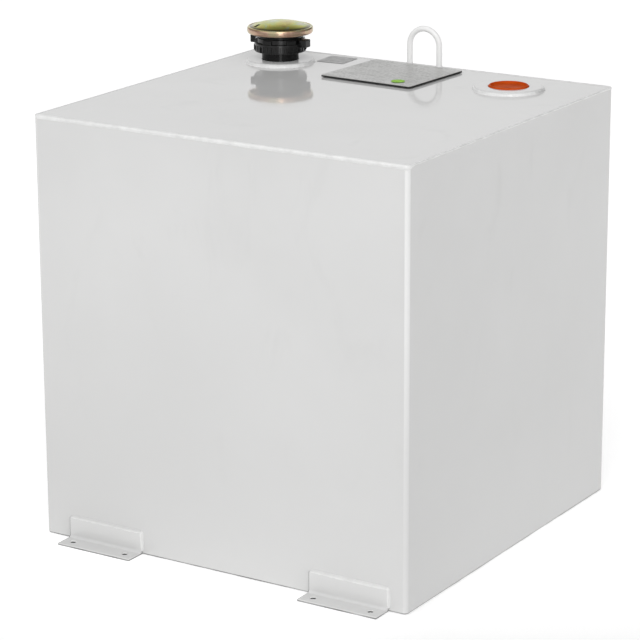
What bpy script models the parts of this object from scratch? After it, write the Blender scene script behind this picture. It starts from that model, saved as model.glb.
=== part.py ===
"""Square welded-steel liquid tank with a filler cap, a spare bung, a lifting eye and four mounting brackets.

Run with: blender --background --python part.py
Metres, +Z up. The origin is on the floor, under the middle of the tank. The front faces -Y.
"""

import math

import bmesh
import bpy
from mathutils import Matrix, Vector

# ---------------------------------------------------------------- driving dimensions

GAP = 0.0003  # clearance between pieces that touch on the real tank

# Shell: 14-gauge sheet, a four-sided wrap closed by a flat top and a flat bottom.
WIDTH = 0.584
DEPTH = 0.566
HEIGHT = 0.598
SHEET = 0.0019
CORNER_RADIUS = 0.0065
CORNER_STEPS = 5
SEAM_SLIT = 0.0008
BOTTOM_INSET = 0.0022

# Baffle: one cross plate that stands across the middle of the tank.
BAFFLE_X = 0.010
BAFFLE_TOP_CLEARANCE = 0.040
BAFFLE_CORNER_CUT = 0.045
BAFFLE_HOLE_RADIUS = 0.080
BAFFLE_HOLE_Z = 0.300
BAFFLE_HOLE_STEPS = 32

# Weld beads
EDGE_BEAD_REACH_IN = 0.0052
EDGE_BEAD_REACH_DOWN = 0.0036
EDGE_BEAD_PROUD = 0.0016
SEAM_BEAD_WIDTH = 0.0070
SEAM_BEAD_PROUD = 0.0014
SEAM_BEAD_MARGIN = 0.0020
BRACKET_BEAD_RADIUS = 0.0029
FLANGE_BEAD_LEG = 0.0030

# Weld-in flanges for 2-inch pipe thread
FILLER_XY = (-0.2062, 0.1956)
BUNG_XY = (0.1752, 0.1920)
FLANGE_RADIUS = 0.0485
FLANGE_HEIGHT = 0.0048
FLANGE_BORE = 0.0292
FLANGE_EDGE = 0.0016
FLANGE_CHAMFER = 0.0010
SPIGOT_RADIUS = 0.0345
SPIGOT_DEPTH = 0.0140
PANEL_HOLE_RADIUS = 0.0352
ROUND_STEPS = 40
FINE_STEPS = 24

# Filler adapter: threaded shank, smooth neck, ribbed collar, two ears, bayonet mouth.
# Its levels are heights above the tank's top face.
NECK_RADIUS = 0.0270
SHANK_RADIUS = 0.0286
NECK_BORE = 0.0230
CAM_CHAMBER_RADIUS = 0.0275
COLLAR_RADIUS = 0.0379
COLLAR_BOTTOM = 0.0168
COLLAR_STEP = 0.0305
UPPER_RADIUS = 0.0345
UPPER_TOP = 0.0372
MOUTH_RADIUS = 0.0325
MOUTH_TOP = 0.0427
LIP_UNDERSIDE = 0.0392
CHAMBER_FLOOR = 0.0290
CHAMBER_RAMP = 0.0045
ADAPTER_EDGE = 0.0006
GROOVES = 12
GROOVE_WIDTH = 0.0036
GROOVE_DEPTH = 0.0016
GROOVE_HEIGHT = 0.0095
PADS = 6
PAD_RADIUS = 0.0363
PAD_WIDTH = 0.0150
BOSS_ROOT = 0.0315
EAR_REACH = 0.0482
EAR_WIDTH = 0.0140
EAR_BOTTOM = 0.0255
EAR_TOP = 0.0368
EAR_ROUNDING = 0.0010
NOTCH_SIZE = (0.0090, 0.0180, 0.0070)

# Cap: plated steel shell, gasket, retainer, cam plate and rivet
CAP_RADIUS = 0.0484
CAP_RIM_BOTTOM = 0.0437
CAP_RIM_TOP = 0.0540
CAP_APEX = 0.0606
CAP_RIM_WIDTH = 0.0062
CAP_RIM_CROWN = 0.0028
CAP_RIM_GROOVE = 0.0006
CAP_DOME_STEPS = 4
CAP_RIM_STEPS = 6
CAP_SHEET = 0.0012
VENT_SLOT_RADIUS = 0.0365
VENT_SLOT_ANGLE = math.radians(234)
VENT_SLOT_TURN = math.radians(254)
VENT_SLOT_SIZE = (0.0085, 0.0022, 0.0060)
GASKET_INNER = 0.0236
GASKET_OUTER = 0.0322
GASKET_THICKNESS = 0.0030
RETAINER_RADIUS = 0.0335
RETAINER_THICKNESS = 0.0015
RIVET_RADIUS = 0.0050
RIVET_HEAD_RADIUS = 0.0080
RIVET_HEAD_HEIGHT = 0.0020
RIVET_EDGE = 0.0006
CAM_PLATE_Z = 0.0352
CAM_PLATE_THICKNESS = 0.0020
CAM_DISC_RADIUS = 0.0190
CAM_TAB_REACH = 0.0262
CAM_TAB_WIDTH = 0.0130

# Bung: push-in plastic plug with a shallow dish in its top
PLUG_TOP = 0.0067
PLUG_TOP_RADIUS = 0.0268
PLUG_SHOULDER_RADIUS = 0.0286
PLUG_BOTTOM = -0.0130
PLUG_BOTTOM_RADIUS = 0.0276
PLUG_DISH_RADIUS = 0.0246
PLUG_DISH_DEPTH = 0.0030
PLUG_WALL = 0.0022
PLUG_EDGE = 0.0004

# Lifting eye: bent rod
EYE_XY = (-0.0064, 0.2717)
EYE_ROD_RADIUS = 0.0045
EYE_SPREAD = 0.0486
EYE_HEIGHT = 0.0598
EYE_WELD_RADIUS = 0.0058
EYE_WELD_HEIGHT = 0.0035
EYE_BEND_STEPS = 16

# Mounting brackets: lengths of equal steel angle
BRACKET_X = {"left": -0.1887, "right": 0.2046}
BRACKET_LENGTH = 0.1210
BRACKET_LEG = 0.03175
BRACKET_THICKNESS = 0.0032
BRACKET_ROOT_RADIUS = 0.0030
BRACKET_EDGE = 0.0008
BRACKET_BEAD_START = 0.0055
BRACKET_BEAD_BEND = 0.0030
BOLT_SPACING = 0.088
BOLT_HOLE_RADIUS = 0.0042
BOLT_FROM_WALL = 0.0180

# Plate, label and sticker on the top
PLATE_XY = (-0.0153, 0.1941)
PLATE_SIZE = (0.1526, 0.1400)
PLATE_TURN = math.radians(-3)
PLATE_CORNER = 0.0040
PAD_MARGIN = 0.016
PAD_CORNER = 0.0060
PAD_THICKNESS = 0.0004
BACKING_THICKNESS = 0.0018
FACE_THICKNESS = 0.0004
FACE_MARGIN = 0.0006
LABEL_XY = (-0.1405, 0.2475)
LABEL_SIZE = (0.0440, 0.0460)
LABEL_TURN = math.radians(2.5)
LABEL_THICKNESS = 0.0003
LABEL_CORNER = 0.0015
STICKER_XY = (0.0245, 0.1440)
STICKER_RADIUS = 0.0098
STICKER_THICKNESS = 0.00025

FRONT = -DEPTH / 2
REAR = DEPTH / 2
TOP = HEIGHT

# ---------------------------------------------------------------- scene, collections, materials

for leftover in list(bpy.data.objects):
    bpy.data.objects.remove(leftover, do_unlink=True)

PARTS = bpy.data.collections.new("liquid_tank")
CUTTERS = bpy.data.collections.new("cutters")
bpy.context.scene.collection.children.link(PARTS)
bpy.context.scene.collection.children.link(CUTTERS)


def material(name, color, roughness, metallic=0.0):
    mat = bpy.data.materials.new(name)
    mat.use_nodes = True
    shader = mat.node_tree.nodes["Principled BSDF"]
    shader.inputs["Base Color"].default_value = (*color, 1.0)
    shader.inputs["Roughness"].default_value = roughness
    shader.inputs["Metallic"].default_value = metallic
    mat.diffuse_color = (*color, 1.0)
    return mat


WHITE_COAT = material("white_powder_coat", (0.80, 0.80, 0.79), 0.18)
COATED_WELD = material("coated_weld", (0.82, 0.82, 0.81), 0.25)
BARE_STEEL = material("bare_steel", (0.42, 0.42, 0.43), 0.45, 1.0)
BLACK_PLASTIC = material("black_plastic", (0.012, 0.012, 0.012), 0.22)
YELLOW_ZINC = material("yellow_zinc", (0.62, 0.50, 0.24), 0.22, 1.0)
ORANGE_PLASTIC = material("orange_plastic", (0.55, 0.09, 0.025), 0.35)
RUBBER = material("rubber", (0.03, 0.03, 0.03), 0.7)
PLATE_SILVER = material("plate_silver", (0.50, 0.50, 0.49), 0.38, 0.6)
PLATE_BLACK = material("plate_black", (0.02, 0.02, 0.02), 0.5)
LABEL_GREY = material("label_grey", (0.45, 0.45, 0.45), 0.4)
STICKER_GREEN = material("sticker_green", (0.22, 0.62, 0.07), 0.4)


# ---------------------------------------------------------------- helpers


def add(name, data, mat, location=(0.0, 0.0, 0.0), rotation=(0.0, 0.0, 0.0)):
    obj = bpy.data.objects.new(name, data)
    obj.location = location
    obj.rotation_euler = rotation
    PARTS.objects.link(obj)
    if mat is not None:
        data.materials.append(mat)
    return obj


def as_cutter(obj):
    PARTS.objects.unlink(obj)
    CUTTERS.objects.link(obj)
    obj.hide_render = True
    obj.display_type = "WIRE"
    return obj


def boolean(obj, other, operation):
    modifier = obj.modifiers.new(f"{operation.lower()}_{other.name}", "BOOLEAN")
    modifier.operation = operation
    modifier.solver = "EXACT"
    modifier.object = other


def smooth(mesh, angle=30):
    mesh.shade_smooth()
    mesh.set_sharp_from_angle(angle=math.radians(angle))


def mesh_from(bm, name):
    mesh = bpy.data.meshes.new(name)
    bm.to_mesh(mesh)
    bm.free()
    return mesh


def block(name, size, centre, turn, edge=0.0):
    """A block of the given size about centre, turned about Z, its edges rounded by edge."""
    bm = bmesh.new()
    bmesh.ops.create_cube(bm, size=1.0)
    bmesh.ops.scale(bm, vec=Vector(size), verts=bm.verts)
    obj = add(name, mesh_from(bm, name), None, centre, (0.0, 0.0, turn))
    if edge:
        rounding = obj.modifiers.new("edge", "BEVEL")
        rounding.width = edge
        rounding.segments = 2
    return obj


def upright_pin(name, radius, low, high, xy, steps):
    """A plain round bar between two heights, used as a drill."""
    bm = bmesh.new()
    bmesh.ops.create_cone(
        bm, cap_ends=True, segments=steps, radius1=radius, radius2=radius, depth=high - low
    )
    return add(name, mesh_from(bm, name), None, (xy[0], xy[1], (low + high) / 2))


def turned(name, profile, xy, z, mat, steps=ROUND_STEPS, closed=True):
    """A solid of revolution about the vertical through xy. profile holds (radius, height above z)."""
    bm = bmesh.new()
    verts = [bm.verts.new((radius, 0.0, height)) for radius, height in profile]
    for a, b in zip(verts, verts[1:]):
        bm.edges.new((a, b))
    if closed:
        bm.edges.new((verts[-1], verts[0]))
    obj = add(name, mesh_from(bm, name), mat, (xy[0], xy[1], z))
    screw = obj.modifiers.new("turn", "SCREW")
    screw.steps = steps
    screw.render_steps = steps
    screw.use_merge_vertices = True
    screw.merge_threshold = 0.00001
    return meshed(obj)


def arc(centre, radius, start, end, steps):
    """Points on an arc from start to end, in radians, both ends included."""
    points = []
    for i in range(steps + 1):
        angle = start + (end - start) * i / steps
        points.append((centre[0] + radius * math.cos(angle), centre[1] + radius * math.sin(angle)))
    return points


def rounded_rectangle(half_x, half_y, radius, steps=CORNER_STEPS):
    """Counter-clockwise outline that starts and ends either side of the middle of the +Y side."""
    centres = [
        ((-half_x + radius, half_y - radius), math.pi / 2),
        ((-half_x + radius, -half_y + radius), math.pi),
        ((half_x - radius, -half_y + radius), 3 * math.pi / 2),
        ((half_x - radius, half_y - radius), 2 * math.pi),
    ]
    points = []
    for centre, start in centres:
        points += arc(centre, radius, start, start + math.pi / 2, steps)
    return points


def circle(radius, steps, centre=(0.0, 0.0)):
    return arc(centre, radius, 0.0, 2 * math.pi, steps)[:-1]


def flat(name, outlines, thickness, mat, location, rotation=(0.0, 0.0, 0.0)):
    """A flat piece cut from sheet: filled closed outlines, the inner ones as holes, as a mesh."""
    curve = bpy.data.curves.new(name, "CURVE")
    curve.dimensions = "2D"
    curve.fill_mode = "BOTH"
    curve.extrude = thickness / 2
    for outline in outlines:
        spline = curve.splines.new("POLY")
        spline.points.add(len(outline) - 1)
        for point, (x, y) in zip(spline.points, outline):
            point.co = (x, y, 0.0, 1.0)
        spline.use_cyclic_u = True
    return meshed(add(name, curve, mat, location, rotation))


def tube(name, points, radius, mat, sides=2):
    """A rod of the given radius along points."""
    curve = bpy.data.curves.new(name, "CURVE")
    curve.dimensions = "3D"
    curve.bevel_depth = radius
    curve.bevel_resolution = sides
    curve.use_fill_caps = True
    spline = curve.splines.new("POLY")
    spline.points.add(len(points) - 1)
    for point, co in zip(spline.points, points):
        point.co = (*co, 1.0)
    return meshed(add(name, curve, mat))


def meshed(source):
    """The curve or modified object as a plain welded mesh object, shaded smooth."""
    bpy.context.view_layer.update()
    graph = bpy.context.evaluated_depsgraph_get()
    mesh = bpy.data.meshes.new_from_object(source.evaluated_get(graph))
    bm = bmesh.new()
    bm.from_mesh(mesh)
    bmesh.ops.remove_doubles(bm, verts=bm.verts, dist=1e-6)
    bmesh.ops.recalc_face_normals(bm, faces=bm.faces)
    bm.to_mesh(mesh)
    bm.free()
    name = source.name
    place = source.matrix_world.copy()
    bpy.data.objects.remove(source, do_unlink=True)
    piece = bpy.data.objects.new(name, mesh)
    piece.matrix_world = place
    PARTS.objects.link(piece)
    smooth(mesh)
    return piece


# ---------------------------------------------------------------- shell


def body_wrap():
    """The four walls, bent from one sheet, with its two ends meeting in a slit at the rear."""
    outline = rounded_rectangle(WIDTH / 2, DEPTH / 2, CORNER_RADIUS)
    path = [(-SEAM_SLIT / 2, REAR)] + outline + [(SEAM_SLIT / 2, REAR)]
    low = SHEET + GAP
    bm = bmesh.new()
    lower = [bm.verts.new((x, y, low)) for x, y in path]
    edges = [bm.edges.new(pair) for pair in zip(lower, lower[1:])]
    strip = bmesh.ops.extrude_edge_only(bm, edges=edges)
    raised = [item for item in strip["geom"] if isinstance(item, bmesh.types.BMVert)]
    bmesh.ops.translate(bm, verts=raised, vec=(0.0, 0.0, HEIGHT - SHEET - GAP - low))
    bmesh.ops.recalc_face_normals(bm, faces=bm.faces)
    wall = max(bm.faces, key=lambda face: face.calc_area())
    if wall.normal.dot(wall.calc_center_median()) < 0:
        bmesh.ops.reverse_faces(bm, faces=bm.faces)
    mesh = mesh_from(bm, "body_wrap")
    obj = add("body_wrap", mesh, WHITE_COAT)
    thick = obj.modifiers.new("sheet", "SOLIDIFY")
    thick.thickness = SHEET
    thick.offset = -1.0
    thick.use_even_offset = True
    smooth(mesh)


def top_panel():
    """The flat top, with a hole under each flange."""
    outline = rounded_rectangle(WIDTH / 2, DEPTH / 2, CORNER_RADIUS)
    holes = [circle(PANEL_HOLE_RADIUS, ROUND_STEPS // 2, xy) for xy in (FILLER_XY, BUNG_XY)]
    flat("top_panel", [outline] + holes, SHEET, WHITE_COAT, (0, 0, TOP - SHEET / 2))


def bottom_panel():
    """The flat bottom, a little smaller than the walls so that its weld sits in the step."""
    half_x = WIDTH / 2 - BOTTOM_INSET
    half_y = DEPTH / 2 - BOTTOM_INSET
    outline = rounded_rectangle(half_x, half_y, CORNER_RADIUS - BOTTOM_INSET)
    flat("bottom_panel", [outline], SHEET, WHITE_COAT, (0, 0, SHEET / 2))


def swept_ring(name, section, z, mat):
    """A bead that runs right round the tank. section holds (outward from the wall, up from z)."""
    bm = bmesh.new()
    rings = []
    for outward, up in section:
        path = rounded_rectangle(WIDTH / 2 + outward, DEPTH / 2 + outward, CORNER_RADIUS + outward)
        rings.append([bm.verts.new((x, y, z + up)) for x, y in path])
    for ring, after in zip(rings, rings[1:] + rings[:1]):
        for i in range(len(ring)):
            j = (i + 1) % len(ring)
            bm.faces.new((ring[i], ring[j], after[j], after[i]))
    bmesh.ops.recalc_face_normals(bm, faces=bm.faces)
    mesh = mesh_from(bm, name)
    add(name, mesh, mat)
    smooth(mesh)


def top_weld_bead():
    """A crust of weld over the corner between the top and the walls."""
    inward = EDGE_BEAD_REACH_IN
    down = EDGE_BEAD_REACH_DOWN
    proud = EDGE_BEAD_PROUD
    section = [
        (GAP, GAP),
        (-inward, GAP),
        (-0.77 * inward, 0.8 * proud),
        (-0.38 * inward, proud),
        (0.12 * proud, 0.85 * proud),
        (0.7 * proud, 0.2 * proud),
        (0.8 * proud, -0.4 * down),
        (0.55 * proud, -0.86 * down),
        (GAP, -down),
    ]
    swept_ring("top_weld_bead", section, TOP, COATED_WELD)


def bottom_weld_bead():
    """The bead in the step between the bottom and the walls, kept clear of the floor."""
    inner = GAP - BOTTOM_INSET
    top = SHEET - GAP / 2
    section = [(inner, GAP), (inner, top), (-GAP, top), (-2 * GAP, 0.4 * SHEET)]
    swept_ring("bottom_weld_bead", section, 0.0, COATED_WELD)


def rear_seam_weld():
    """The vertical bead that closes the wrap."""
    half = SEAM_BEAD_WIDTH / 2
    back = REAR + GAP
    outline = [
        (-half, back),
        (half, back),
        (half * 0.8, back + SEAM_BEAD_PROUD * 0.6),
        (half * 0.35, back + SEAM_BEAD_PROUD),
        (-half * 0.35, back + SEAM_BEAD_PROUD),
        (-half * 0.8, back + SEAM_BEAD_PROUD * 0.6),
    ]
    low = SHEET + SEAM_BEAD_MARGIN
    high = HEIGHT - EDGE_BEAD_REACH_DOWN - GAP
    flat("rear_seam_weld", [outline], high - low, COATED_WELD, (0, 0, (low + high) / 2))


def baffle_plate():
    """The cross plate inside, cut off at its lower corners and open in the middle."""
    half = DEPTH / 2 - SHEET - GAP
    low = SHEET + GAP
    high = HEIGHT - BAFFLE_TOP_CLEARANCE
    cut = BAFFLE_CORNER_CUT
    outline = [
        (-half + cut, low),
        (half - cut, low),
        (half, low + cut),
        (half, high),
        (-half, high),
        (-half, low + cut),
    ]
    hole = circle(BAFFLE_HOLE_RADIUS, BAFFLE_HOLE_STEPS, (0.0, BAFFLE_HOLE_Z))
    upright = (math.pi / 2, 0.0, math.pi / 2)
    flat("baffle_plate", [outline, hole], SHEET, BARE_STEEL, (BAFFLE_X, 0, 0), upright)


# ---------------------------------------------------------------- flanges


def pipe_flange(name, xy):
    """A round weld-in flange with a spigot through the panel and a bore for pipe thread."""
    profile = [
        (FLANGE_RADIUS - FLANGE_EDGE, FLANGE_HEIGHT),
        (FLANGE_RADIUS, FLANGE_HEIGHT - FLANGE_EDGE),
        (FLANGE_RADIUS, GAP),
        (SPIGOT_RADIUS, GAP),
        (SPIGOT_RADIUS, -SPIGOT_DEPTH),
        (FLANGE_BORE, -SPIGOT_DEPTH),
        (FLANGE_BORE, FLANGE_HEIGHT - FLANGE_CHAMFER),
        (FLANGE_BORE + FLANGE_CHAMFER, FLANGE_HEIGHT),
    ]
    turned(name, profile, xy, TOP, WHITE_COAT)


def flange_weld(name, xy):
    """The fillet of weld round a flange's edge."""
    inner = FLANGE_RADIUS + GAP
    leg = FLANGE_BEAD_LEG
    profile = [
        (inner, GAP + leg),
        (inner + leg * 0.55, GAP + leg * 0.75),
        (inner + leg, GAP + leg * 0.1),
        (inner + leg, GAP),
        (inner, GAP),
    ]
    turned(name, profile, xy, TOP, COATED_WELD)


# ---------------------------------------------------------------- filler adapter


def filler_adapter():
    """The moulded adapter that screws into the flange and takes the bayonet cap."""
    edge = ADAPTER_EDGE
    shank_end = GAP - SPIGOT_DEPTH
    profile = [
        (MOUTH_RADIUS - edge, MOUTH_TOP),
        (MOUTH_RADIUS, MOUTH_TOP - edge),
        (MOUTH_RADIUS, UPPER_TOP),
        (UPPER_RADIUS - edge, UPPER_TOP),
        (UPPER_RADIUS, UPPER_TOP - edge),
        (UPPER_RADIUS, COLLAR_STEP + edge),
        (COLLAR_RADIUS - 3 * edge, COLLAR_STEP),
        (COLLAR_RADIUS - edge, COLLAR_STEP - edge),
        (COLLAR_RADIUS, COLLAR_STEP - 3 * edge),
        (COLLAR_RADIUS, COLLAR_BOTTOM + 3 * edge),
        (COLLAR_RADIUS - edge, COLLAR_BOTTOM + edge),
        (COLLAR_RADIUS - 3 * edge, COLLAR_BOTTOM),
        (NECK_RADIUS + edge, COLLAR_BOTTOM),
        (NECK_RADIUS, COLLAR_BOTTOM - edge),
        (NECK_RADIUS, FLANGE_HEIGHT + 2 * edge),
        (SHANK_RADIUS, FLANGE_HEIGHT + edge),
        (SHANK_RADIUS, shank_end + 3 * edge),
        (SHANK_RADIUS - 3 * edge, shank_end),
        (NECK_BORE, shank_end),
        (NECK_BORE, CHAMBER_FLOOR - CHAMBER_RAMP),
        (CAM_CHAMBER_RADIUS, CHAMBER_FLOOR),
        (CAM_CHAMBER_RADIUS, LIP_UNDERSIDE),
        (NECK_BORE, LIP_UNDERSIDE),
        (NECK_BORE, MOUTH_TOP),
    ]
    adapter = turned("filler_adapter", profile, FILLER_XY, TOP, BLACK_PLASTIC)
    add_ears(adapter)
    add_pads(adapter)
    cut_grooves(adapter)
    cut_notches(adapter)


def about_filler(radius, angle, height):
    """A point at this radius and angle about the filler's axis, height above the top face."""
    x = FILLER_XY[0] + radius * math.cos(angle)
    y = FILLER_XY[1] + radius * math.sin(angle)
    return (x, y, TOP + height)


def add_ears(adapter):
    """Two flat ears at the sides of the collar."""
    size = (EAR_REACH - BOSS_ROOT, EAR_WIDTH, EAR_TOP - EAR_BOTTOM)
    for i in range(2):
        angle = i * math.pi
        centre = about_filler((EAR_REACH + BOSS_ROOT) / 2, angle, (EAR_BOTTOM + EAR_TOP) / 2)
        ear = block(f"ear_{i}", size, centre, angle, EAR_ROUNDING)
        boolean(adapter, as_cutter(ear), "UNION")


def add_pads(adapter):
    """Raised pads round the upper part of the collar."""
    low = COLLAR_STEP - 5 * ADAPTER_EDGE
    high = UPPER_TOP - 2 * ADAPTER_EDGE
    size = (PAD_RADIUS - BOSS_ROOT, PAD_WIDTH, high - low)
    for i in range(PADS):
        angle = (i + 0.5) * 2 * math.pi / PADS
        centre = about_filler((PAD_RADIUS + BOSS_ROOT) / 2, angle, (low + high) / 2)
        pad = block(f"pad_{i}", size, centre, angle)
        boolean(adapter, as_cutter(pad), "UNION")


def cut_grooves(adapter):
    """Upright grip grooves in the lower part of the collar."""
    size = (2 * GROOVE_DEPTH, GROOVE_WIDTH, GROOVE_HEIGHT)
    middle = COLLAR_BOTTOM + GROOVE_HEIGHT / 2 - ADAPTER_EDGE
    for i in range(GROOVES):
        angle = (i + 0.5) * 2 * math.pi / GROOVES
        groove = block(f"groove_{i}", size, about_filler(COLLAR_RADIUS, angle, middle), angle)
        boolean(adapter, as_cutter(groove), "DIFFERENCE")


def cut_notches(adapter):
    """The two openings in the bayonet lip that let the cap's tabs through."""
    radius = CAM_CHAMBER_RADIUS - NOTCH_SIZE[0] / 2
    middle = (LIP_UNDERSIDE + MOUTH_TOP) / 2
    for i in range(2):
        angle = i * math.pi
        notch = block(f"notch_{i}", NOTCH_SIZE, about_filler(radius, angle, middle), angle)
        boolean(adapter, as_cutter(notch), "DIFFERENCE")


# ---------------------------------------------------------------- cap


def cap_section(inset):
    """Half of the cap's section, (radius, height), from the apex to the rim's underside."""
    flank = CAP_RADIUS - CAP_RIM_WIDTH
    shoulder = CAP_RIM_TOP - CAP_RIM_GROOVE
    points = []
    for i in range(CAP_DOME_STEPS + 1):
        part_way = i / CAP_DOME_STEPS
        rise = (CAP_APEX - shoulder) * (1 - part_way**2)
        points.append((flank * part_way, shoulder + rise - inset))
    middle = (CAP_RIM_TOP + CAP_RIM_BOTTOM) / 2
    tall = (CAP_RIM_TOP - CAP_RIM_BOTTOM) / 2 - inset
    for i in range(CAP_RIM_STEPS + 1):
        angle = math.pi / 2 - math.pi * i / CAP_RIM_STEPS
        radius = flank + CAP_RIM_CROWN + (CAP_RIM_WIDTH - CAP_RIM_CROWN - inset) * math.cos(angle)
        points.append((radius, middle + tall * math.sin(angle)))
    return points


def cap_shell():
    """The domed cap with a rolled rim, open underneath."""
    profile = cap_section(0.0) + cap_section(CAP_SHEET)[::-1]
    cap = turned("cap_shell", profile, FILLER_XY, TOP, YELLOW_ZINC, closed=False)
    centre = about_filler(VENT_SLOT_RADIUS, VENT_SLOT_ANGLE, CAP_RIM_TOP)
    slot = block("vent_slot", VENT_SLOT_SIZE, centre, VENT_SLOT_TURN)
    boolean(cap, as_cutter(slot), "DIFFERENCE")


def cap_gasket():
    low = MOUTH_TOP + GAP
    high = low + GASKET_THICKNESS
    profile = [(GASKET_OUTER, high), (GASKET_OUTER, low), (GASKET_INNER, low), (GASKET_INNER, high)]
    turned("cap_gasket", profile, FILLER_XY, TOP, RUBBER)


def retainer_plate():
    """The pressed disc that holds the gasket up against the cap."""
    low = MOUTH_TOP + GASKET_THICKNESS + 2 * GAP
    high = low + RETAINER_THICKNESS
    bore = RIVET_RADIUS + GAP
    profile = [(RETAINER_RADIUS, high), (RETAINER_RADIUS, low), (bore, low), (bore, high)]
    turned("retainer_plate", profile, FILLER_XY, TOP, BARE_STEEL)


def cap_rivet():
    """The rivet that ties the cam plate and the retainer to the cap."""
    high = CAP_APEX - CAP_SHEET - 2 * GAP
    shoulder = CAM_PLATE_Z - GAP
    low = shoulder - RIVET_HEAD_HEIGHT
    edge = RIVET_EDGE
    profile = [
        (0.0, high),
        (RIVET_HEAD_RADIUS - 2 * edge, high - edge),
        (RIVET_HEAD_RADIUS, high - RIVET_HEAD_HEIGHT),
        (RIVET_RADIUS, high - RIVET_HEAD_HEIGHT - edge),
        (RIVET_RADIUS, shoulder),
        (RIVET_HEAD_RADIUS, shoulder),
        (RIVET_HEAD_RADIUS - 2 * edge, low),
        (0.0, low - edge),
    ]
    turned("cap_rivet", profile, FILLER_XY, TOP, BARE_STEEL, FINE_STEPS, closed=False)


def cam_plate():
    """The disc with two tabs that turns under the bayonet lip."""
    half = CAM_TAB_WIDTH / 2
    root = math.asin(half / CAM_DISC_RADIUS)
    tip = math.asin(half / CAM_TAB_REACH)
    outline = []
    for side in range(2):
        turn = side * math.pi
        outline += arc((0, 0), CAM_TAB_REACH, turn - tip, turn + tip, 4)
        outline += arc((0, 0), CAM_DISC_RADIUS, turn + root, turn + math.pi - root, 10)
    hole = circle(RIVET_RADIUS + GAP, FINE_STEPS)
    middle = TOP + CAM_PLATE_Z + CAM_PLATE_THICKNESS / 2
    flat("cam_plate", [outline, hole], CAM_PLATE_THICKNESS, BARE_STEEL, (*FILLER_XY, middle))


# ---------------------------------------------------------------- bung plug


def bung_plug():
    """The push-in plug: dished on top, hollow underneath."""
    edge = PLUG_EDGE
    dish = PLUG_TOP - PLUG_DISH_DEPTH
    profile = [
        (0.0, dish),
        (PLUG_DISH_RADIUS - 2 * edge, dish),
        (PLUG_DISH_RADIUS, PLUG_TOP - edge),
        (PLUG_DISH_RADIUS + edge, PLUG_TOP),
        (PLUG_TOP_RADIUS, PLUG_TOP),
        (PLUG_SHOULDER_RADIUS, PLUG_TOP - 4 * edge),
        (PLUG_BOTTOM_RADIUS, PLUG_BOTTOM),
        (PLUG_BOTTOM_RADIUS - PLUG_WALL, PLUG_BOTTOM),
        (PLUG_SHOULDER_RADIUS - PLUG_WALL, dish - PLUG_WALL),
        (0.0, dish - PLUG_WALL),
    ]
    turned("bung_plug", profile, BUNG_XY, TOP, ORANGE_PLASTIC, closed=False)


# ---------------------------------------------------------------- lifting eye


def lifting_eye():
    """A hoop of bent rod that stands on the top, behind the plate."""
    x, y = EYE_XY
    radius = EYE_SPREAD / 2
    spring = TOP + EYE_HEIGHT - EYE_ROD_RADIUS - radius
    path = [(x - radius, y, TOP + GAP)]
    for px, pz in arc((x, spring), radius, math.pi, 0.0, EYE_BEND_STEPS):
        path.append((px, y, pz))
    path.append((x + radius, y, TOP + GAP))
    tube("lifting_eye", path, EYE_ROD_RADIUS, WHITE_COAT, sides=3)


def lifting_eye_weld(side, x):
    """The fillet of weld round one foot of the lifting eye."""
    inner = EYE_ROD_RADIUS + GAP
    profile = [
        (inner, GAP + EYE_WELD_HEIGHT),
        ((inner + EYE_WELD_RADIUS) / 2, GAP + 0.7 * EYE_WELD_HEIGHT),
        (EYE_WELD_RADIUS, 2 * GAP),
        (EYE_WELD_RADIUS, GAP),
        (inner, GAP),
    ]
    turned(f"lifting_eye_weld_{side}", profile, (x, EYE_XY[1]), TOP, COATED_WELD, FINE_STEPS)


# ---------------------------------------------------------------- brackets


def bracket_section():
    """The angle's cross-section: (away from the wall, up), rounded in its inner corner."""
    leg = BRACKET_LEG
    thick = BRACKET_THICKNESS
    root = BRACKET_ROOT_RADIUS
    inner = arc((thick + root, thick + root), root, 3 * math.pi / 2, math.pi, 4)
    edge = BRACKET_EDGE
    section = [(0.0, 0.0), (leg, 0.0), (leg, thick - edge), (leg - edge, thick)]
    section += inner
    section += [(thick, leg - edge), (thick - edge, leg), (0.0, leg)]
    return section


def mounting_bracket(name, x, facing):
    """One bracket. facing is -1 on the front wall and 1 on the rear wall."""
    wall = facing * (DEPTH / 2 + GAP)
    turn = math.pi / 2 if facing > 0 else -math.pi / 2
    rotation = Matrix.Rotation(turn, 3, "Z") @ Matrix.Rotation(math.pi / 2, 3, "X")
    angle = flat(
        name, [bracket_section()], BRACKET_LENGTH, WHITE_COAT, (x, wall, 0), rotation.to_euler()
    )
    for side in (-1, 1):
        hole_xy = (x + side * BOLT_SPACING / 2, facing * (DEPTH / 2 + BOLT_FROM_WALL))
        ends = (-BRACKET_THICKNESS, 2 * BRACKET_THICKNESS)
        hole = upright_pin(f"{name}_hole_{side}", BOLT_HOLE_RADIUS, *ends, hole_xy, FINE_STEPS)
        boolean(angle, as_cutter(hole), "DIFFERENCE")


def bracket_weld(name, x, facing):
    """The bead up one end of a bracket, along its top edge and down the other end."""
    off = BRACKET_BEAD_RADIUS + GAP
    y = facing * (DEPTH / 2 + off)
    half = BRACKET_LENGTH / 2 + off
    top = BRACKET_LEG + off
    bend = BRACKET_BEAD_BEND
    path = [(-half, BRACKET_BEAD_START), (-half, top - bend)]
    path += arc((-half + bend, top - bend), bend, math.pi, math.pi / 2, 3)[1:]
    path += arc((half - bend, top - bend), bend, math.pi / 2, 0.0, 3)
    path += [(half, BRACKET_BEAD_START)]
    tube(name, [(x + px, y, pz) for px, pz in path], BRACKET_BEAD_RADIUS, COATED_WELD)


# ---------------------------------------------------------------- plate, label, sticker


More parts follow.
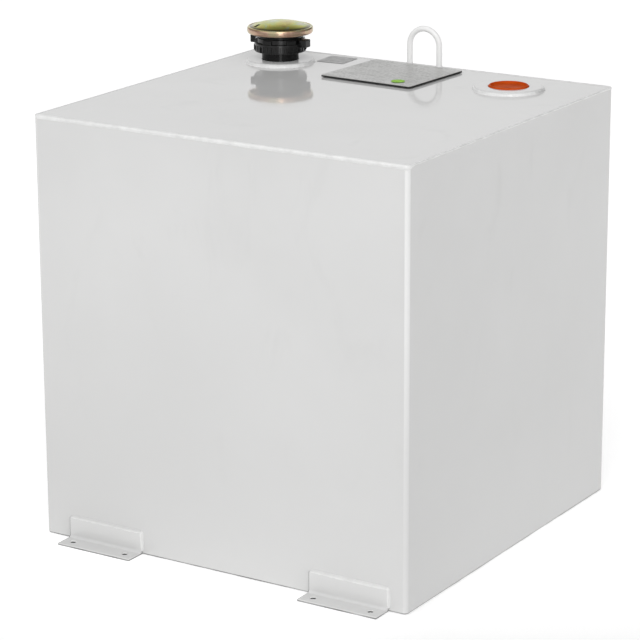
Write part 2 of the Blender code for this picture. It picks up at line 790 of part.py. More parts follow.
def instruction_plate():
    """A silver face on a black board, held off the tank by a thin adhesive pad."""
    turn = (0.0, 0.0, PLATE_TURN)
    half_x = PLATE_SIZE[0] / 2
    half_y = PLATE_SIZE[1] / 2
    pad = rounded_rectangle(half_x - PAD_MARGIN, half_y - PAD_MARGIN, PAD_CORNER)
    board = rounded_rectangle(half_x, half_y, PLATE_CORNER)
    face = rounded_rectangle(half_x - FACE_MARGIN, half_y - FACE_MARGIN, PLATE_CORNER - FACE_MARGIN)
    z = TOP + GAP
    flat("plate_pad", [pad], PAD_THICKNESS, RUBBER, (*PLATE_XY, z + PAD_THICKNESS / 2), turn)
    z += PAD_THICKNESS + GAP
    board_z = z + BACKING_THICKNESS / 2
    flat("plate_backing", [board], BACKING_THICKNESS, PLATE_BLACK, (*PLATE_XY, board_z), turn)
    z += BACKING_THICKNESS + GAP
    flat("plate_face", [face], FACE_THICKNESS, PLATE_SILVER, (*PLATE_XY, z + FACE_THICKNESS / 2), turn)
    z += FACE_THICKNESS + GAP
    dot = circle(STICKER_RADIUS, FINE_STEPS)
    dot_z = z + STICKER_THICKNESS / 2
    flat("inspection_sticker", [dot], STICKER_THICKNESS, STICKER_GREEN, (*STICKER_XY, dot_z))


def data_label():
    outline = rounded_rectangle(LABEL_SIZE[0] / 2, LABEL_SIZE[1] / 2, LABEL_CORNER)
    z = TOP + GAP + LABEL_THICKNESS / 2
    flat("data_label", [outline], LABEL_THICKNESS, LABEL_GREY, (*LABEL_XY, z), (0, 0, LABEL_TURN))


# ---------------------------------------------------------------- build

body_wrap()
top_panel()
bottom_panel()
top_weld_bead()
bottom_weld_bead()
rear_seam_weld()
baffle_plate()

pipe_flange("filler_flange", FILLER_XY)
pipe_flange("bung_flange", BUNG_XY)
flange_weld("filler_flange_weld", FILLER_XY)
flange_weld("bung_flange_weld", BUNG_XY)

filler_adapter()
cap_gasket()
cap_shell()
retainer_plate()
cap_rivet()
cam_plate()
bung_plug()

lifting_eye()
for eye_side, eye_sign in (("left", -1), ("right", 1)):
    lifting_eye_weld(eye_side, EYE_XY[0] + eye_sign * EYE_SPREAD / 2)

for wall_name, wall_sign in (("front", -1), ("rear", 1)):
    for side_name, bracket_x in BRACKET_X.items():
        mounting_bracket(f"mounting_bracket_{wall_name}_{side_name}", bracket_x, wall_sign)
        bracket_weld(f"bracket_weld_{wall_name}_{side_name}", bracket_x, wall_sign)

instruction_plate()
data_label()
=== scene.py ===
"""Looks for the square steel liquid tank: fine meshes, procedural finishes, studio and camera.

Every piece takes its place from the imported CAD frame. Metres, +Z up; the tank's front faces -Y.
"""

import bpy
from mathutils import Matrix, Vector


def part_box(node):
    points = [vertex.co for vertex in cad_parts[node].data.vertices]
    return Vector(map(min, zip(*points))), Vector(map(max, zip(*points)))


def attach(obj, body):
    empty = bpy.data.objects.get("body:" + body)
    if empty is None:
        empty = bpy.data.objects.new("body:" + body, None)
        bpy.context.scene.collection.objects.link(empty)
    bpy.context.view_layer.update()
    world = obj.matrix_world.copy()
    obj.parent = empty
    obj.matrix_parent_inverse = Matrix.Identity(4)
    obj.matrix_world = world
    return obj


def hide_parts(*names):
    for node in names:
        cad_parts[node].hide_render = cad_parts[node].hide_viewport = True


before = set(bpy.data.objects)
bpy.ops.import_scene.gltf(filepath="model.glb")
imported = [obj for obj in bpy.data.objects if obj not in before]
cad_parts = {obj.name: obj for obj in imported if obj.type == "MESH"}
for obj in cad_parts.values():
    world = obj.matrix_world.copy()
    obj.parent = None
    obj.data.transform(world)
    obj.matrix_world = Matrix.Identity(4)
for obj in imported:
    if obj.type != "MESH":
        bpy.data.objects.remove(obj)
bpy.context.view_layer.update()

import math

import bmesh
import bpy
from mathutils import Matrix, Vector, noise

UP = Vector((0, 0, 1))

# ---- sizes that the frame doesn't state

SHEET = 0.0019
CORNER_RADIUS = 0.0065
PANEL_WAVE = 0.00035
WAVE_FADE = 0.08
WELD_PITCH = 0.0034
EDGE_ROUND = 0.0030
EDGE_BEAD_ON_TOP = 0.0034
EDGE_BEAD_ON_WALL = 0.0030
EDGE_BEAD_PROUD = 0.0013
SEAM_BEAD_HALF = 0.0042
SEAM_BEAD_PROUD = 0.0014
TOE_DEPTH = 0.0003
FLANGE_BORE = 0.0292
FLANGE_SPIGOT = 0.0345
FILLER_MOUTH = 0.0273
BUNG_MOUTH = FLANGE_BORE - 0.0002
PANEL_HOLE = 0.0352
CAP_SHEET = 0.0012
CAP_RIM_HEIGHT = 0.0094
CAP_RIM_WIDTH = 0.0040
DOME_FULLNESS = 2.4
VENT_SLOT_SIZE = (0.0092, 0.0062, 0.0060)
VENT_SLOT_RADIUS = 0.0365
VENT_SLOT_ANGLE = math.radians(234)
VENT_SLOT_TURN = math.radians(20)
RIVET_HOLE = 0.0053
GASKET_BORE = 0.0236
BRACKET_THICKNESS = 0.0032
BRACKET_ROOT = 0.0040
BOLT_SPACING = 0.088
BOLT_RADIUS = 0.0042
BOLT_FROM_WALL = 0.018
PLATE_SIZE = (0.1526, 0.1400)
PLATE_CORNER = 0.0044
PLATE_TURN = math.radians(-3)
LABEL_SIZE = (0.0440, 0.0460)
LABEL_TURN = math.radians(2.5)

# ---- places read from the frame


def centre_of(node):
    low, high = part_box(node)
    return (low + high) / 2


def radius_of(node):
    low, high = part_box(node)
    return (high.x - low.x) / 2


WALL_LOW, WALL_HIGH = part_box("body_wrap")
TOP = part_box("top_panel")[1].z
HALF_X = WALL_HIGH.x
HALF_Y = WALL_HIGH.y
FILLER = centre_of("filler_flange")
BUNG = centre_of("bung_flange")
CAP_RADIUS = radius_of("cap_shell")

# ---- outlines


def arc(centre, radius, start, end, steps):
    points = []
    for i in range(steps + 1):
        angle = start + (end - start) * i / steps
        points.append((centre[0] + radius * math.cos(angle), centre[1] + radius * math.sin(angle)))
    return points


def rounded(corners, closed=True, steps=5):
    """The polygon of (x, y, radius) corners with each corner replaced by an arc of its radius."""
    outline = []
    count = len(corners)
    for i, (x, y, radius) in enumerate(corners):
        ends = not closed and i in (0, count - 1)
        if radius <= 0 or ends:
            outline.append((x, y))
            continue
        here = Vector((x, y))
        before = Vector(corners[i - 1][:2]) - here
        after = Vector(corners[(i + 1) % count][:2]) - here
        half = before.angle(after) / 2
        reach = radius / math.tan(half)
        reach = min(reach, 0.49 * before.length, 0.49 * after.length)
        radius = reach * math.tan(half)
        bisector = (before.normalized() + after.normalized()).normalized()
        middle = here + bisector * (radius / math.sin(half))
        start = here + before.normalized() * reach - middle
        turn = start.angle_signed(here + after.normalized() * reach - middle)
        for k in range(steps + 1):
            spoke = start.copy()
            spoke.rotate(Matrix.Rotation(-turn * k / steps, 2))
            outline.append(tuple(middle + spoke))
    return outline


def rectangle(half_x, half_y, radius):
    """Corners of a rounded rectangle, counter-clockwise, for rounded()."""
    signs = ((-1, -1), (1, -1), (1, 1), (-1, 1))
    return [(sx * half_x, sy * half_y, radius) for sx, sy in signs]


def wall_path(spacing, corner_steps):
    """(point, outward) pairs round the tank's walls at even steps."""
    outline = rounded(rectangle(HALF_X, HALF_Y, CORNER_RADIUS), steps=corner_steps)
    path = []
    for (x, y), (nx, ny) in zip(outline, outline[1:] + outline[:1]):
        run = math.hypot(nx - x, ny - y)
        pieces = max(1, round(run / spacing))
        for k in range(pieces):
            path.append((x + (nx - x) * k / pieces, y + (ny - y) * k / pieces))
    return [(Vector(point), outward_at(*point)) for point in path]


def outward_at(x, y):
    """The walls' outward direction nearest to a point on them."""
    dx = max(abs(x) - (HALF_X - CORNER_RADIUS), 0.0)
    dy = max(abs(y) - (HALF_Y - CORNER_RADIUS), 0.0)
    return Vector((math.copysign(dx, x), math.copysign(dy, y))).normalized()


# ---- making pieces


def piece(name, mesh, slot, node, body="tank", sharp=35, finish=None):
    """A shown piece that rides on a body and stands for a CAD node.

    finish names a material when it isn't the slot's own. sharp is the angle in degrees past which
    an edge isn't smoothed."""
    if not any(mesh.materials):
        mesh.materials.clear()
        mesh.materials.append(MATERIALS[finish or slot])
    mesh.shade_smooth()
    mesh.set_sharp_from_angle(angle=math.radians(sharp))
    shaded = placed("shaded", mesh)
    even = shaded.modifiers.new("even", "WEIGHTED_NORMAL")
    even.keep_sharp = True
    mesh = applied(shaded)
    mesh.name = name
    obj = placed(name, mesh)
    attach(obj, body)
    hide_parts(node)


def two_finishes(mesh, main, other, is_other):
    """Gives the mesh one finish, and a second one on the faces that the test picks."""
    mesh.materials.clear()
    mesh.materials.append(MATERIALS[main])
    mesh.materials.append(MATERIALS[other])
    for face in mesh.polygons:
        face.material_index = int(is_other(face))


def mesh_of(bm):
    """The finished mesh, with close points joined and its faces turned outward."""
    bmesh.ops.remove_doubles(bm, verts=bm.verts, dist=1e-7)
    bmesh.ops.recalc_face_normals(bm, faces=bm.faces)
    mesh = bpy.data.meshes.new("mesh")
    bm.to_mesh(mesh)
    bm.free()
    return mesh


def placed(name, data):
    """A new object in the scene, to keep or to cut and modify with."""
    obj = bpy.data.objects.new(name, data)
    bpy.context.scene.collection.objects.link(obj)
    return obj


def applied(obj):
    """The object's mesh with its modifiers applied. The object is removed."""
    bpy.context.view_layer.update()
    graph = bpy.context.evaluated_depsgraph_get()
    mesh = bpy.data.meshes.new_from_object(obj.evaluated_get(graph))
    bpy.data.objects.remove(obj, do_unlink=True)
    return mesh


def combined(mesh, others, operation):
    """The mesh with other meshes cut from it or joined to it."""
    base = placed("base", mesh)
    tools = [placed("tool", other) for other in others]
    for tool in tools:
        step = base.modifiers.new("combine", "BOOLEAN")
        step.operation = operation
        step.solver = "EXACT"
        step.material_mode = "TRANSFER"
        step.object = tool
    made = applied(base)
    for tool in tools:
        bpy.data.objects.remove(tool, do_unlink=True)
    return made


def lathe(profile, centre, base, steps):
    """A solid turned about the vertical through centre. profile is a closed loop of
    (radius, height above base)."""
    bm = bmesh.new()
    rings = []
    for i in range(steps):
        angle = 2 * math.pi * i / steps
        ring = []
        for radius, height in profile:
            x = centre[0] + radius * math.cos(angle)
            y = centre[1] + radius * math.sin(angle)
            ring.append(bm.verts.new((x, y, base + height)))
        rings.append(ring)
    on_axis = [radius == 0.0 for radius, height in profile]
    for ring, after in zip(rings, rings[1:] + rings[:1]):
        for k in range(len(profile)):
            if not (on_axis[k] and on_axis[k - 1]):
                bm.faces.new((ring[k - 1], after[k - 1], after[k], ring[k]))
    return mesh_of(bm)


def prism(outline, low, high, place, edge):
    """An outline in XY made solid between two heights, its rims rounded by edge, then placed."""
    bm = bmesh.new()
    face = bm.faces.new([bm.verts.new((x, y, low)) for x, y in outline])
    sweep = bmesh.ops.extrude_face_region(bm, geom=[face])
    raised = [item for item in sweep["geom"] if isinstance(item, bmesh.types.BMVert)]
    bmesh.ops.translate(bm, verts=raised, vec=(0, 0, high - low))
    bmesh.ops.recalc_face_normals(bm, faces=bm.faces)
    level = [e for e in bm.edges if abs(e.verts[0].co.z - e.verts[1].co.z) < 1e-9]
    bevel(bm, [e for e in level if e.calc_length()], edge, 2)
    bmesh.ops.transform(bm, matrix=place, verts=bm.verts)
    return mesh_of(bm)


def bevel(bm, edges, offset, steps):
    bmesh.ops.bevel(bm, geom=edges, offset=offset, segments=steps, profile=0.5, affect="EDGES")


def rounded_box(size, centre, turn, edge):
    """A small block with rounded edges, turned about the vertical."""
    bm = bmesh.new()
    bmesh.ops.create_cube(bm, size=1.0)
    bmesh.ops.scale(bm, vec=Vector(size), verts=bm.verts)
    bevel(bm, bm.edges[:], edge, 3)
    place = Matrix.Translation(centre) @ Matrix.Rotation(turn, 4, "Z")
    bmesh.ops.transform(bm, matrix=place, verts=bm.verts)
    return mesh_of(bm)


def drill_bit(radius, low, high, centre):
    """A plain upright bar to cut a hole with."""
    bm = bmesh.new()
    size = {"radius1": radius, "radius2": radius, "depth": high - low}
    place = Matrix.Translation((centre.x, centre.y, (low + high) / 2))
    bmesh.ops.create_cone(bm, cap_ends=True, segments=64, matrix=place, **size)
    return mesh_of(bm)


def weld(stations, section, lump, seed, closed=False, ripple=0.02):
    """A run of weld: a section of (across, up) points carried along stations, with swellings.

    stations holds (centre, across, up, swell) with two unit directions that span the section."""
    bm = bmesh.new()
    rings = []
    run = 0.0
    before = stations[0][0]
    for centre, across, up, swell in stations:
        run += (centre - before).length
        before = centre
        slow = noise.noise(Vector((run * 45, seed * 3.1, 9.0)))
        quick = noise.noise(Vector((run * 130, seed * 7.3, 0.0)))
        wave = math.sin(2 * math.pi * run / WELD_PITCH + 2.5 * quick)
        size = swell * (1 + lump * (0.9 * slow + 0.8 * quick) + ripple * wave)
        ring = []
        for k, (x, z) in enumerate(section):
            knob = noise.noise(Vector((run * 240, 0.35 * k + seed, 2.0)))
            reach = size * (1 + 0.45 * lump * knob)
            ring.append(bm.verts.new(centre + across * x * reach + up * z * reach))
        rings.append(ring)
    if closed:
        rings.append(rings[0])
    else:
        bm.faces.new(rings[0])
        bm.faces.new(rings[-1])
    tube(bm, rings)
    return mesh_of(bm)


def tube(bm, rings):
    """Joins closed rings of points with four-sided faces."""
    for ring, after in zip(rings, rings[1:]):
        for k in range(len(ring)):
            bm.faces.new((ring[k - 1], ring[k], after[k], after[k - 1]))


def round_stations(centre, radius, count):
    """Weld stations round the vertical through a point."""
    stations = []
    for i in range(count):
        angle = 2 * math.pi * i / count
        outward = Vector((math.cos(angle), math.sin(angle), 0.0))
        stations.append((centre + outward * radius, outward, UP, 1.0))
    return stations


def bell(part):
    """A smooth hump over 0..1 that starts and ends level."""
    return 0.5 - 0.5 * math.cos(2 * math.pi * part)


def corner_section(turn, on_top, on_wall, proud, sink):
    """Weld over an outside corner that is at (0, 0), with the surfaces running to -across and -up.

    The corner is rounded by turn, and a smooth hump stands proud of it."""
    steps = 18
    quarter = turn * math.pi / 2
    total = on_top + quarter + on_wall
    points = []
    for i in range(steps + 1):
        along = total * i / steps
        if along < on_top:
            spot, facing = (-turn - on_top + along, 0.0), math.pi / 2
        elif along < on_top + quarter:
            facing = math.pi / 2 - (along - on_top) / turn
            spot = (-turn + turn * math.cos(facing), -turn + turn * math.sin(facing))
        else:
            spot, facing = (0.0, -turn - (along - on_top - quarter)), 0.0
        stand = proud * bell(i / steps) ** 0.8 - sink * (1 - bell(i / steps)) ** 3
        points.append((spot[0] + stand * math.cos(facing), spot[1] + stand * math.sin(facing)))
    return points + [(-turn, -turn)]


def fillet_section(height, reach, sink, steps=12):
    """Weld in an inside corner: down a face at across 0, out onto the surface at up 0."""
    points = []
    for i in range(steps + 1):
        part = i / steps
        x = (reach + 0.0006) * part
        z = height * (1 - eased(part)) ** 0.9 + 0.12 * height * math.sin(math.pi * part)
        points.append((x, z - sink * part**3))
    return points + [(-0.0008, -sink), (-0.0008, height * 0.9)]


def eased(value):
    value = min(max(value, 0.0), 1.0)
    return value * value * (3 - 2 * value)


# ---- finishes


class Nodes:
    """Short ways to add nodes to a node tree."""

    def __init__(self, tree):
        self.tree = tree

    def node(self, kind, inputs, **settings):
        """A new node. inputs holds {name or index: number, vector, colour or another socket}."""
        made = self.tree.nodes.new(f"ShaderNode{kind}")
        for key, value in settings.items():
            setattr(made, key, value)
        for key, value in inputs.items():
            self.feed(value, made.inputs[key])
        return made

    def feed(self, value, socket):
        if isinstance(value, bpy.types.NodeSocket):
            self.tree.links.new(value, socket)
        elif socket.type == "RGBA":
            socket.default_value = (*value, 1.0)
        else:
            socket.default_value = value

    def spread(self, value, low, high, to_low=0.0, to_high=1.0):
        """Eases a value from low..high to to_low..to_high."""
        inputs = {"Value": value, "From Min": low, "From Max": high}
        inputs |= {"To Min": to_low, "To Max": to_high}
        return self.node("MapRange", inputs, interpolation_type="SMOOTHSTEP").outputs["Result"]

    def math(self, operation, *values):
        return self.node("Math", dict(enumerate(values)), operation=operation).outputs["Value"]

    def multiply(self, a, b):
        return self.math("MULTIPLY", a, b)

    def dot(self, value, toward):
        inputs = {0: value, 1: toward}
        return self.node("VectorMath", inputs, operation="DOT_PRODUCT").outputs["Value"]


class Finish(Nodes):
    """A Principled material. Its textures are fixed to the object, in metres."""

    def __init__(self, name, metallic=0.0):
        self.mat = bpy.data.materials.new(name)
        self.mat.use_nodes = True
        super().__init__(self.mat.node_tree)
        self.shader = self.tree.nodes["Principled BSDF"]
        self.shader.inputs["Metallic"].default_value = metallic
        self.place = self.node("TexCoord", {}).outputs["Object"]

    def mapped(self, **inputs):
        """The place in the object, with a Location, Rotation or Scale applied."""
        return self.node("Mapping", {"Vector": self.place, **inputs}).outputs["Vector"]

    def noise(self, scale, detail=3.0, distortion=0.0, stretch=(1.0, 1.0, 1.0)):
        inputs = {"Scale": scale, "Detail": detail, "Roughness": 0.55, "Distortion": distortion}
        inputs["Vector"] = self.mapped(Scale=stretch)
        return self.node("TexNoise", inputs).outputs["Fac"]

    def ramp(self, value, stops):
        """A colour ramp; stops holds (position, colour)."""
        made = self.node("ValToRGB", {"Fac": value})
        ramp = made.color_ramp
        while len(ramp.elements) < len(stops):
            ramp.elements.new(0.5)
        for element, (position, color) in zip(ramp.elements, stops):
            element.position = position
            element.color = (*color, 1.0)
        return made.outputs["Color"]

    def tones(self, scale, dark, light, *more, ends=(0.3, 0.7)):
        """Two tones in soft patches; what follows them goes to the noise."""
        return self.ramp(self.noise(scale, *more), list(zip(ends, (dark, light))))

    def mix(self, factor, a, b):
        """Colour a, going to b as the factor goes to 1."""
        return self.node("Mix", {0: factor, 6: a, 7: b}, data_type="RGBA").outputs[2]

    def color(self, source):
        self.feed(source, self.shader.inputs["Base Color"])

    def rough(self, low, high, scale, *more, ends=(0.3, 0.7)):
        """Roughness from low to high in soft patches."""
        source = self.spread(self.noise(scale, *more), *ends, low, high)
        self.feed(source, self.shader.inputs["Roughness"])

    def bump(self, height, strength, distance):
        """Adds a bump on top of the ones before."""
        inputs = {"Strength": strength, "Distance": distance, "Height": height}
        normal = self.shader.inputs["Normal"]
        if normal.links:
            inputs["Normal"] = normal.links[0].from_socket
        self.feed(self.node("Bump", inputs).outputs["Normal"], normal)

    def from_axis(self, centre):
        """Distance from the vertical through a point."""
        flat = self.mapped(Location=(-centre.x, -centre.y, 0.0), Scale=(1.0, 1.0, 0.0))
        return self.node("VectorMath", {0: flat}, operation="LENGTH").outputs["Value"]

    def axis(self, index):
        """The x, y or z coordinate."""
        return self.node("SeparateXYZ", {"Vector": self.place}).outputs[index]


def white_powder_coat():
    """Gloss white coat: faint clouding and smudges, orange peel, painted highlight on the corner
    bends, painted shade at the left edge, low on the walls and at floor level.
    """
    return white_coat("white_powder_coat", (0.655, 0.655, 0.651), (0.690, 0.690, 0.687))


def lit_fitting_coat():
    """The same coat in a lighter tone, a painted highlight, over bar, rod and castings."""
    return white_coat("lit_fitting_coat", (0.88, 0.88, 0.876), (0.93, 0.93, 0.926))


def white_coat(name, low_tone, high_tone):
    f = Finish(name)
    cloud = f.tones(4.0, low_tone, high_tone)
    smudge = f.spread(f.noise(14.0, 5.0, 0.8, (1.0, 1.0, 0.45)), 0.56, 0.80)
    grime_and_shade_tone = tuple(0.9 * channel for channel in low_tone)
    thick = tuple(1.16 * channel for channel in high_tone)
    shaded_tone = tuple(0.84 * channel for channel in low_tone)
    coat = f.mix(f.multiply(smudge, 0.35), cloud, grime_and_shade_tone)
    # Painted highlight: a lighter tone on the corner bends, fuller higher up.
    bend = f.multiply(at_edge(f, 0, HALF_X), at_edge(f, 1, HALF_Y))
    coat = f.mix(f.multiply(bend, f.spread(f.axis(2), 0.0, 0.5, 0.5, 1.0)), coat, thick)
    # Painted shade: a darker tone along the leftmost few millimetres.
    coat = f.mix(f.spread(f.axis(0), 0.0036 - HALF_X, 0.0046 - HALF_X, 1.0, 0.0), coat, grime_and_shade_tone)
    # Painted shade low on the walls and toward the left.
    coat = f.mix(low_left_shade(f), coat, shaded_tone)
    # Painted contact shade along the lowest millimetres.
    f.color(f.mix(floor_contact_shade(f), coat, GROUND_SHADE))
    f.rough(0.045, 0.085, 9.0, 4.0, 0.4, ends=(0.35, 0.75))
    f.bump(f.noise(300.0, 2.0), 0.02, 0.0004)
    return f.mat


# Tone of the painted contact shade at floor level.
GROUND_SHADE = (0.15, 0.149, 0.147)


def floor_contact_shade(f):
    """1 along the lowest millimetres, in uneven lengths: painted contact shade at floor level."""
    patchy = f.spread(f.noise(16.0, 2.0), 0.35, 0.60, 0.5, 1.0)
    return f.multiply(f.spread(f.axis(2), 0.0014, 0.0028, 1.0, 0.0), patchy)


def low_left_shade(f):
    """1 low on the walls and more toward the left, easing to 0 near the lid and off the bracket feet:
    painted shade.
    """
    height = f.spread(f.axis(2), 0.02, 0.48, 1.0, 0.0)
    side = f.spread(f.axis(0), -HALF_X, HALF_X, 1.0, 0.55)
    out = f.math("ABSOLUTE", f.axis(1))
    off_foot = f.spread(out, HALF_Y + 0.0015, HALF_Y + 0.0060, 1.0, 0.0)
    return f.multiply(f.multiply(height, side), off_foot)


def at_edge(f, index, half):
    """1 in the outer part of the wall bends along one axis, 0 elsewhere."""
    reach = f.math("ABSOLUTE", f.axis(index))
    return f.spread(reach, half - 0.90 * CORNER_RADIUS, half - 0.70 * CORNER_RADIUS)


def coated_weld():
    """The same coat over weld in a lighter tone, a painted highlight; soot and painted pit shade in
    dark specks.
    """
    f = Finish("coated_weld")
    # Dark specks: soot, with painted shade in the pits.
    soot_and_pit_shade = f.spread(f.noise(420.0, 3.0, 0.5), 0.68, 0.80, 0.0, 0.50)
    # Painted highlight: a lighter tone than the walls' coat.
    tone = f.tones(60.0, (0.72, 0.72, 0.716), (0.82, 0.82, 0.816), ends=(0.35, 0.65))
    coat = f.mix(soot_and_pit_shade, tone, (0.30, 0.29, 0.28))
    # Painted shade low on the walls and toward the left.
    coat = f.mix(low_left_shade(f), coat, (0.62, 0.62, 0.616))
    # Painted contact shade along the lowest millimetres.
    f.color(f.mix(floor_contact_shade(f), coat, GROUND_SHADE))
    f.rough(0.10, 0.24, 90.0)
    f.bump(f.noise(520.0), 0.10, 0.0004)
    return f.mat


def dark_end_weld():
    """Dark weld, up the left end of each bracket."""
    f = Finish("dark_end_weld")
    f.color(f.tones(240.0, (0.24, 0.24, 0.238), (0.40, 0.40, 0.396)))
    f.rough(0.3, 0.5, 90.0)
    f.bump(f.noise(520.0), 0.10, 0.0004)
    return f.mat


def shaded_end_steel():
    """The bare metal of a bracket's sawn end, painted near black as shade."""
    f = Finish("shaded_end_steel", metallic=0.3)
    f.color(f.tones(800.0, (0.015, 0.015, 0.015), (0.04, 0.039, 0.038), 2.0))
    f.rough(0.5, 0.7, 500.0, 2.0)
    return f.mat


def drilled_hole():
    """Coat that runs a little way into a bracket's bolt hole, with bare metal below it painted near
    black as shade.
    """
    f = Finish("drilled_hole")
    coat = f.tones(200.0, (0.70, 0.70, 0.69), (0.80, 0.80, 0.79), 2.0)
    # Painted shade: near black below the coat inside the hole.
    shaded_bare = f.tones(800.0, (0.010, 0.010, 0.010), (0.03, 0.029, 0.028), 2.0)
    f.color(f.mix(f.spread(f.axis(2), 0.0012, 0.0024), shaded_bare, coat))
    f.rough(0.4, 0.7, 500.0, 2.0)
    return f.mat


def black_plastic():
    """The turned neck and other plain moulded faces."""
    return moulded("black_plastic", 0.18)


def polished_plastic():
    """The collar's outer faces, from a brighter part of the mould."""
    return moulded("polished_plastic", 0.38)


def moulded(name, shine):
    f = Finish(name)
    f.shader.inputs["Specular IOR Level"].default_value = shine
    f.color(f.tones(180.0, (0.003, 0.003, 0.003), (0.008, 0.008, 0.008), ends=(0.3, 0.75)))
    f.rough(0.08, 0.20, 70.0, 4.0)
    f.bump(f.noise(700.0, 2.0), 0.05, 0.0003)
    f.bump(f.noise(120.0, 2.0), 0.08, 0.0005)
    return f.mat


def yellow_zinc():
    """Yellow chromate over zinc: olive gold on the dome, copper pink on the rim, rainbow patches,
    and painted shade where the dome meets the rim, strongest in front."""
    f = Finish("yellow_zinc", metallic=1.0)
    patches = f.noise(26.0, 2.5, 1.6)
    dome = f.ramp(
        patches,
        [
            (0.30, (0.37, 0.30, 0.06)),
            (0.42, (0.46, 0.41, 0.07)),
            (0.50, (0.41, 0.44, 0.08)),
            (0.60, (0.37, 0.43, 0.25)),
            (0.70, (0.50, 0.40, 0.32)),
        ],
    )
    rim = f.ramp(
        patches,
        [
            (0.34, (0.42, 0.26, 0.19)),
            (0.50, (0.52, 0.37, 0.27)),
            (0.66, (0.44, 0.42, 0.24)),
        ],
    )
    low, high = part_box("cap_shell")
    tall = high.z - low.z
    level = f.spread(f.axis(2), low.z + 0.45 * tall, low.z + 0.62 * tall)
    out = f.from_axis(FILLER)
    crease = CAP_RADIUS - CAP_RIM_WIDTH
    inner = f.spread(out, crease - 0.0075, crease - 0.0010)
    outer = f.spread(out, crease, crease + 0.0012, 1.0, 0.0)
    front = f.spread(f.axis(1), FILLER.y + 0.010, FILLER.y + 0.040, 0.92, 0.2)
    # Painted shade: a dark band just inside the rim, mostly on the front half.
    rim_shade = f.multiply(f.multiply(inner, outer), front)
    f.color(f.mix(rim_shade, f.mix(level, rim, dome), (0.07, 0.045, 0.012)))
    f.rough(0.14, 0.27, 60.0, 4.0)
    f.bump(f.noise(160.0), 0.06, 0.0004)
    return f.mat


def bare_steel():
    f = Finish("bare_steel", metallic=1.0)
    f.color(f.tones(30.0, (0.34, 0.34, 0.35), (0.50, 0.50, 0.51), 4.0))
    f.rough(0.28, 0.50, 200.0, 3.0, 0.0, (1.0, 0.05, 1.0))
    f.bump(f.noise(900.0, 2.0, 0.0, (1.0, 0.05, 1.0)), 0.05, 0.0003)
    return f.mat


def orange_plastic():
    f = Finish("orange_plastic")
    f.shader.inputs["IOR"].default_value = 1.04
    f.color(f.tones(70.0, (0.47, 0.060, 0.006), (0.58, 0.084, 0.010)))
    f.rough(0.26, 0.42, 120.0)
    f.bump(f.noise(500.0), 0.08, 0.0003)
    return f.mat


def rubber():
    f = Finish("rubber")
    f.color(f.tones(150.0, (0.020, 0.020, 0.020), (0.035, 0.034, 0.033)))
    f.rough(0.6, 0.8, 300.0)
    f.bump(f.noise(900.0), 0.15, 0.0003)
    return f.mat


def print_rows(f, turn, row, dash, cover):
    """Rows of short grey dashes that stand for small print: 1 on ink, 0 between."""
    inputs = {
        "Vector": f.mapped(Rotation=(0.0, 0.0, -turn)),
        "Scale": 1.0,
        "Brick Width": dash,
        "Row Height": row,
        "Mortar Size": row * 0.30,
        "Mortar Smooth": 0.3,
        "Color1": (1.0, 1.0, 1.0),
        "Color2": (0.3, 0.3, 0.3),
        "Mortar": (0.0, 0.0, 0.0),
    }
    bricks = f.node("TexBrick", inputs)
    broken = f.spread(f.noise(240.0, 2.0, 0.0, (1.0, 0.5, 1.0)), 0.42, 0.52)
    return f.multiply(f.multiply(bricks.outputs["Color"], broken), cover)


def plate_silver():
    """Satin silver face with fine brushing and rows of plain dashes."""
    f = Finish("plate_silver", metallic=0.35)
    tone = f.tones(20.0, (0.465, 0.465, 0.455), (0.545, 0.545, 0.535), 4.0)
    rows = print_rows(f, PLATE_TURN, 0.0056, 0.019, 0.70)
    f.color(f.mix(rows, tone, (0.17, 0.17, 0.165)))
    f.rough(0.30, 0.42, 80.0, 4.0, 0.0, (0.1, 1.0, 1.0))
    f.bump(f.noise(1500.0, 2.0, 0.0, (0.05, 1.0, 1.0)), 0.04, 0.0002)
    return f.mat


def plate_black():
    f = Finish("plate_black")
    f.color(f.tones(150.0, (0.008, 0.008, 0.008), (0.020, 0.020, 0.020)))
    f.rough(0.35, 0.55, 200.0)
    return f.mat


def label_grey():
    f = Finish("label_grey")
    tone = f.tones(40.0, (0.295, 0.295, 0.295), (0.36, 0.36, 0.36))
    rows = print_rows(f, LABEL_TURN, 0.0046, 0.013, 0.6)
    f.color(f.mix(rows, tone, (0.16, 0.16, 0.16)))
    f.rough(0.28, 0.42, 90.0)
    return f.mat


def sticker_green():
    f = Finish("sticker_green")
    f.shader.inputs["IOR"].default_value = 1.15
    f.color(f.tones(160.0, (0.20, 0.50, 0.010), (0.34, 0.66, 0.030)))
    f.rough(0.32, 0.48, 200.0)
    return f.mat


MATERIALS = {
    maker.__name__: maker()
    for maker in (
        white_powder_coat,
        lit_fitting_coat,
        coated_weld,
        dark_end_weld,
        shaded_end_steel,
        drilled_hole,
        black_plastic,
        polished_plastic,
        yellow_zinc,
        bare_steel,
        orange_plastic,
        rubber,
        plate_silver,
        plate_black,
        label_grey,
        sticker_green,
    )
}

CARRIED_OVER = {
    "bottom_panel": "white_powder_coat",
    "bottom_weld_bead": "coated_weld",
    "baffle_plate": "bare_steel",
    "plate_pad": "rubber",
}


def dress_carried_over():
    """Gives the CAD nodes that stay in view their finish."""
    for name, slot in CARRIED_OVER.items():
        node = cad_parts[name]
        node.data.materials.clear()
        node.data.materials.append(MATERIALS[slot])


# ---- shell


def wave_at(x, y, z, margins):
    """How far thin sheet stands out of flat here. margins holds the distances to its edges."""
    fade = math.prod(eased(margin / WAVE_FADE) for margin in margins)
    return PANEL_WAVE * fade * noise.noise(Vector((x, y, z)) * 5.0)


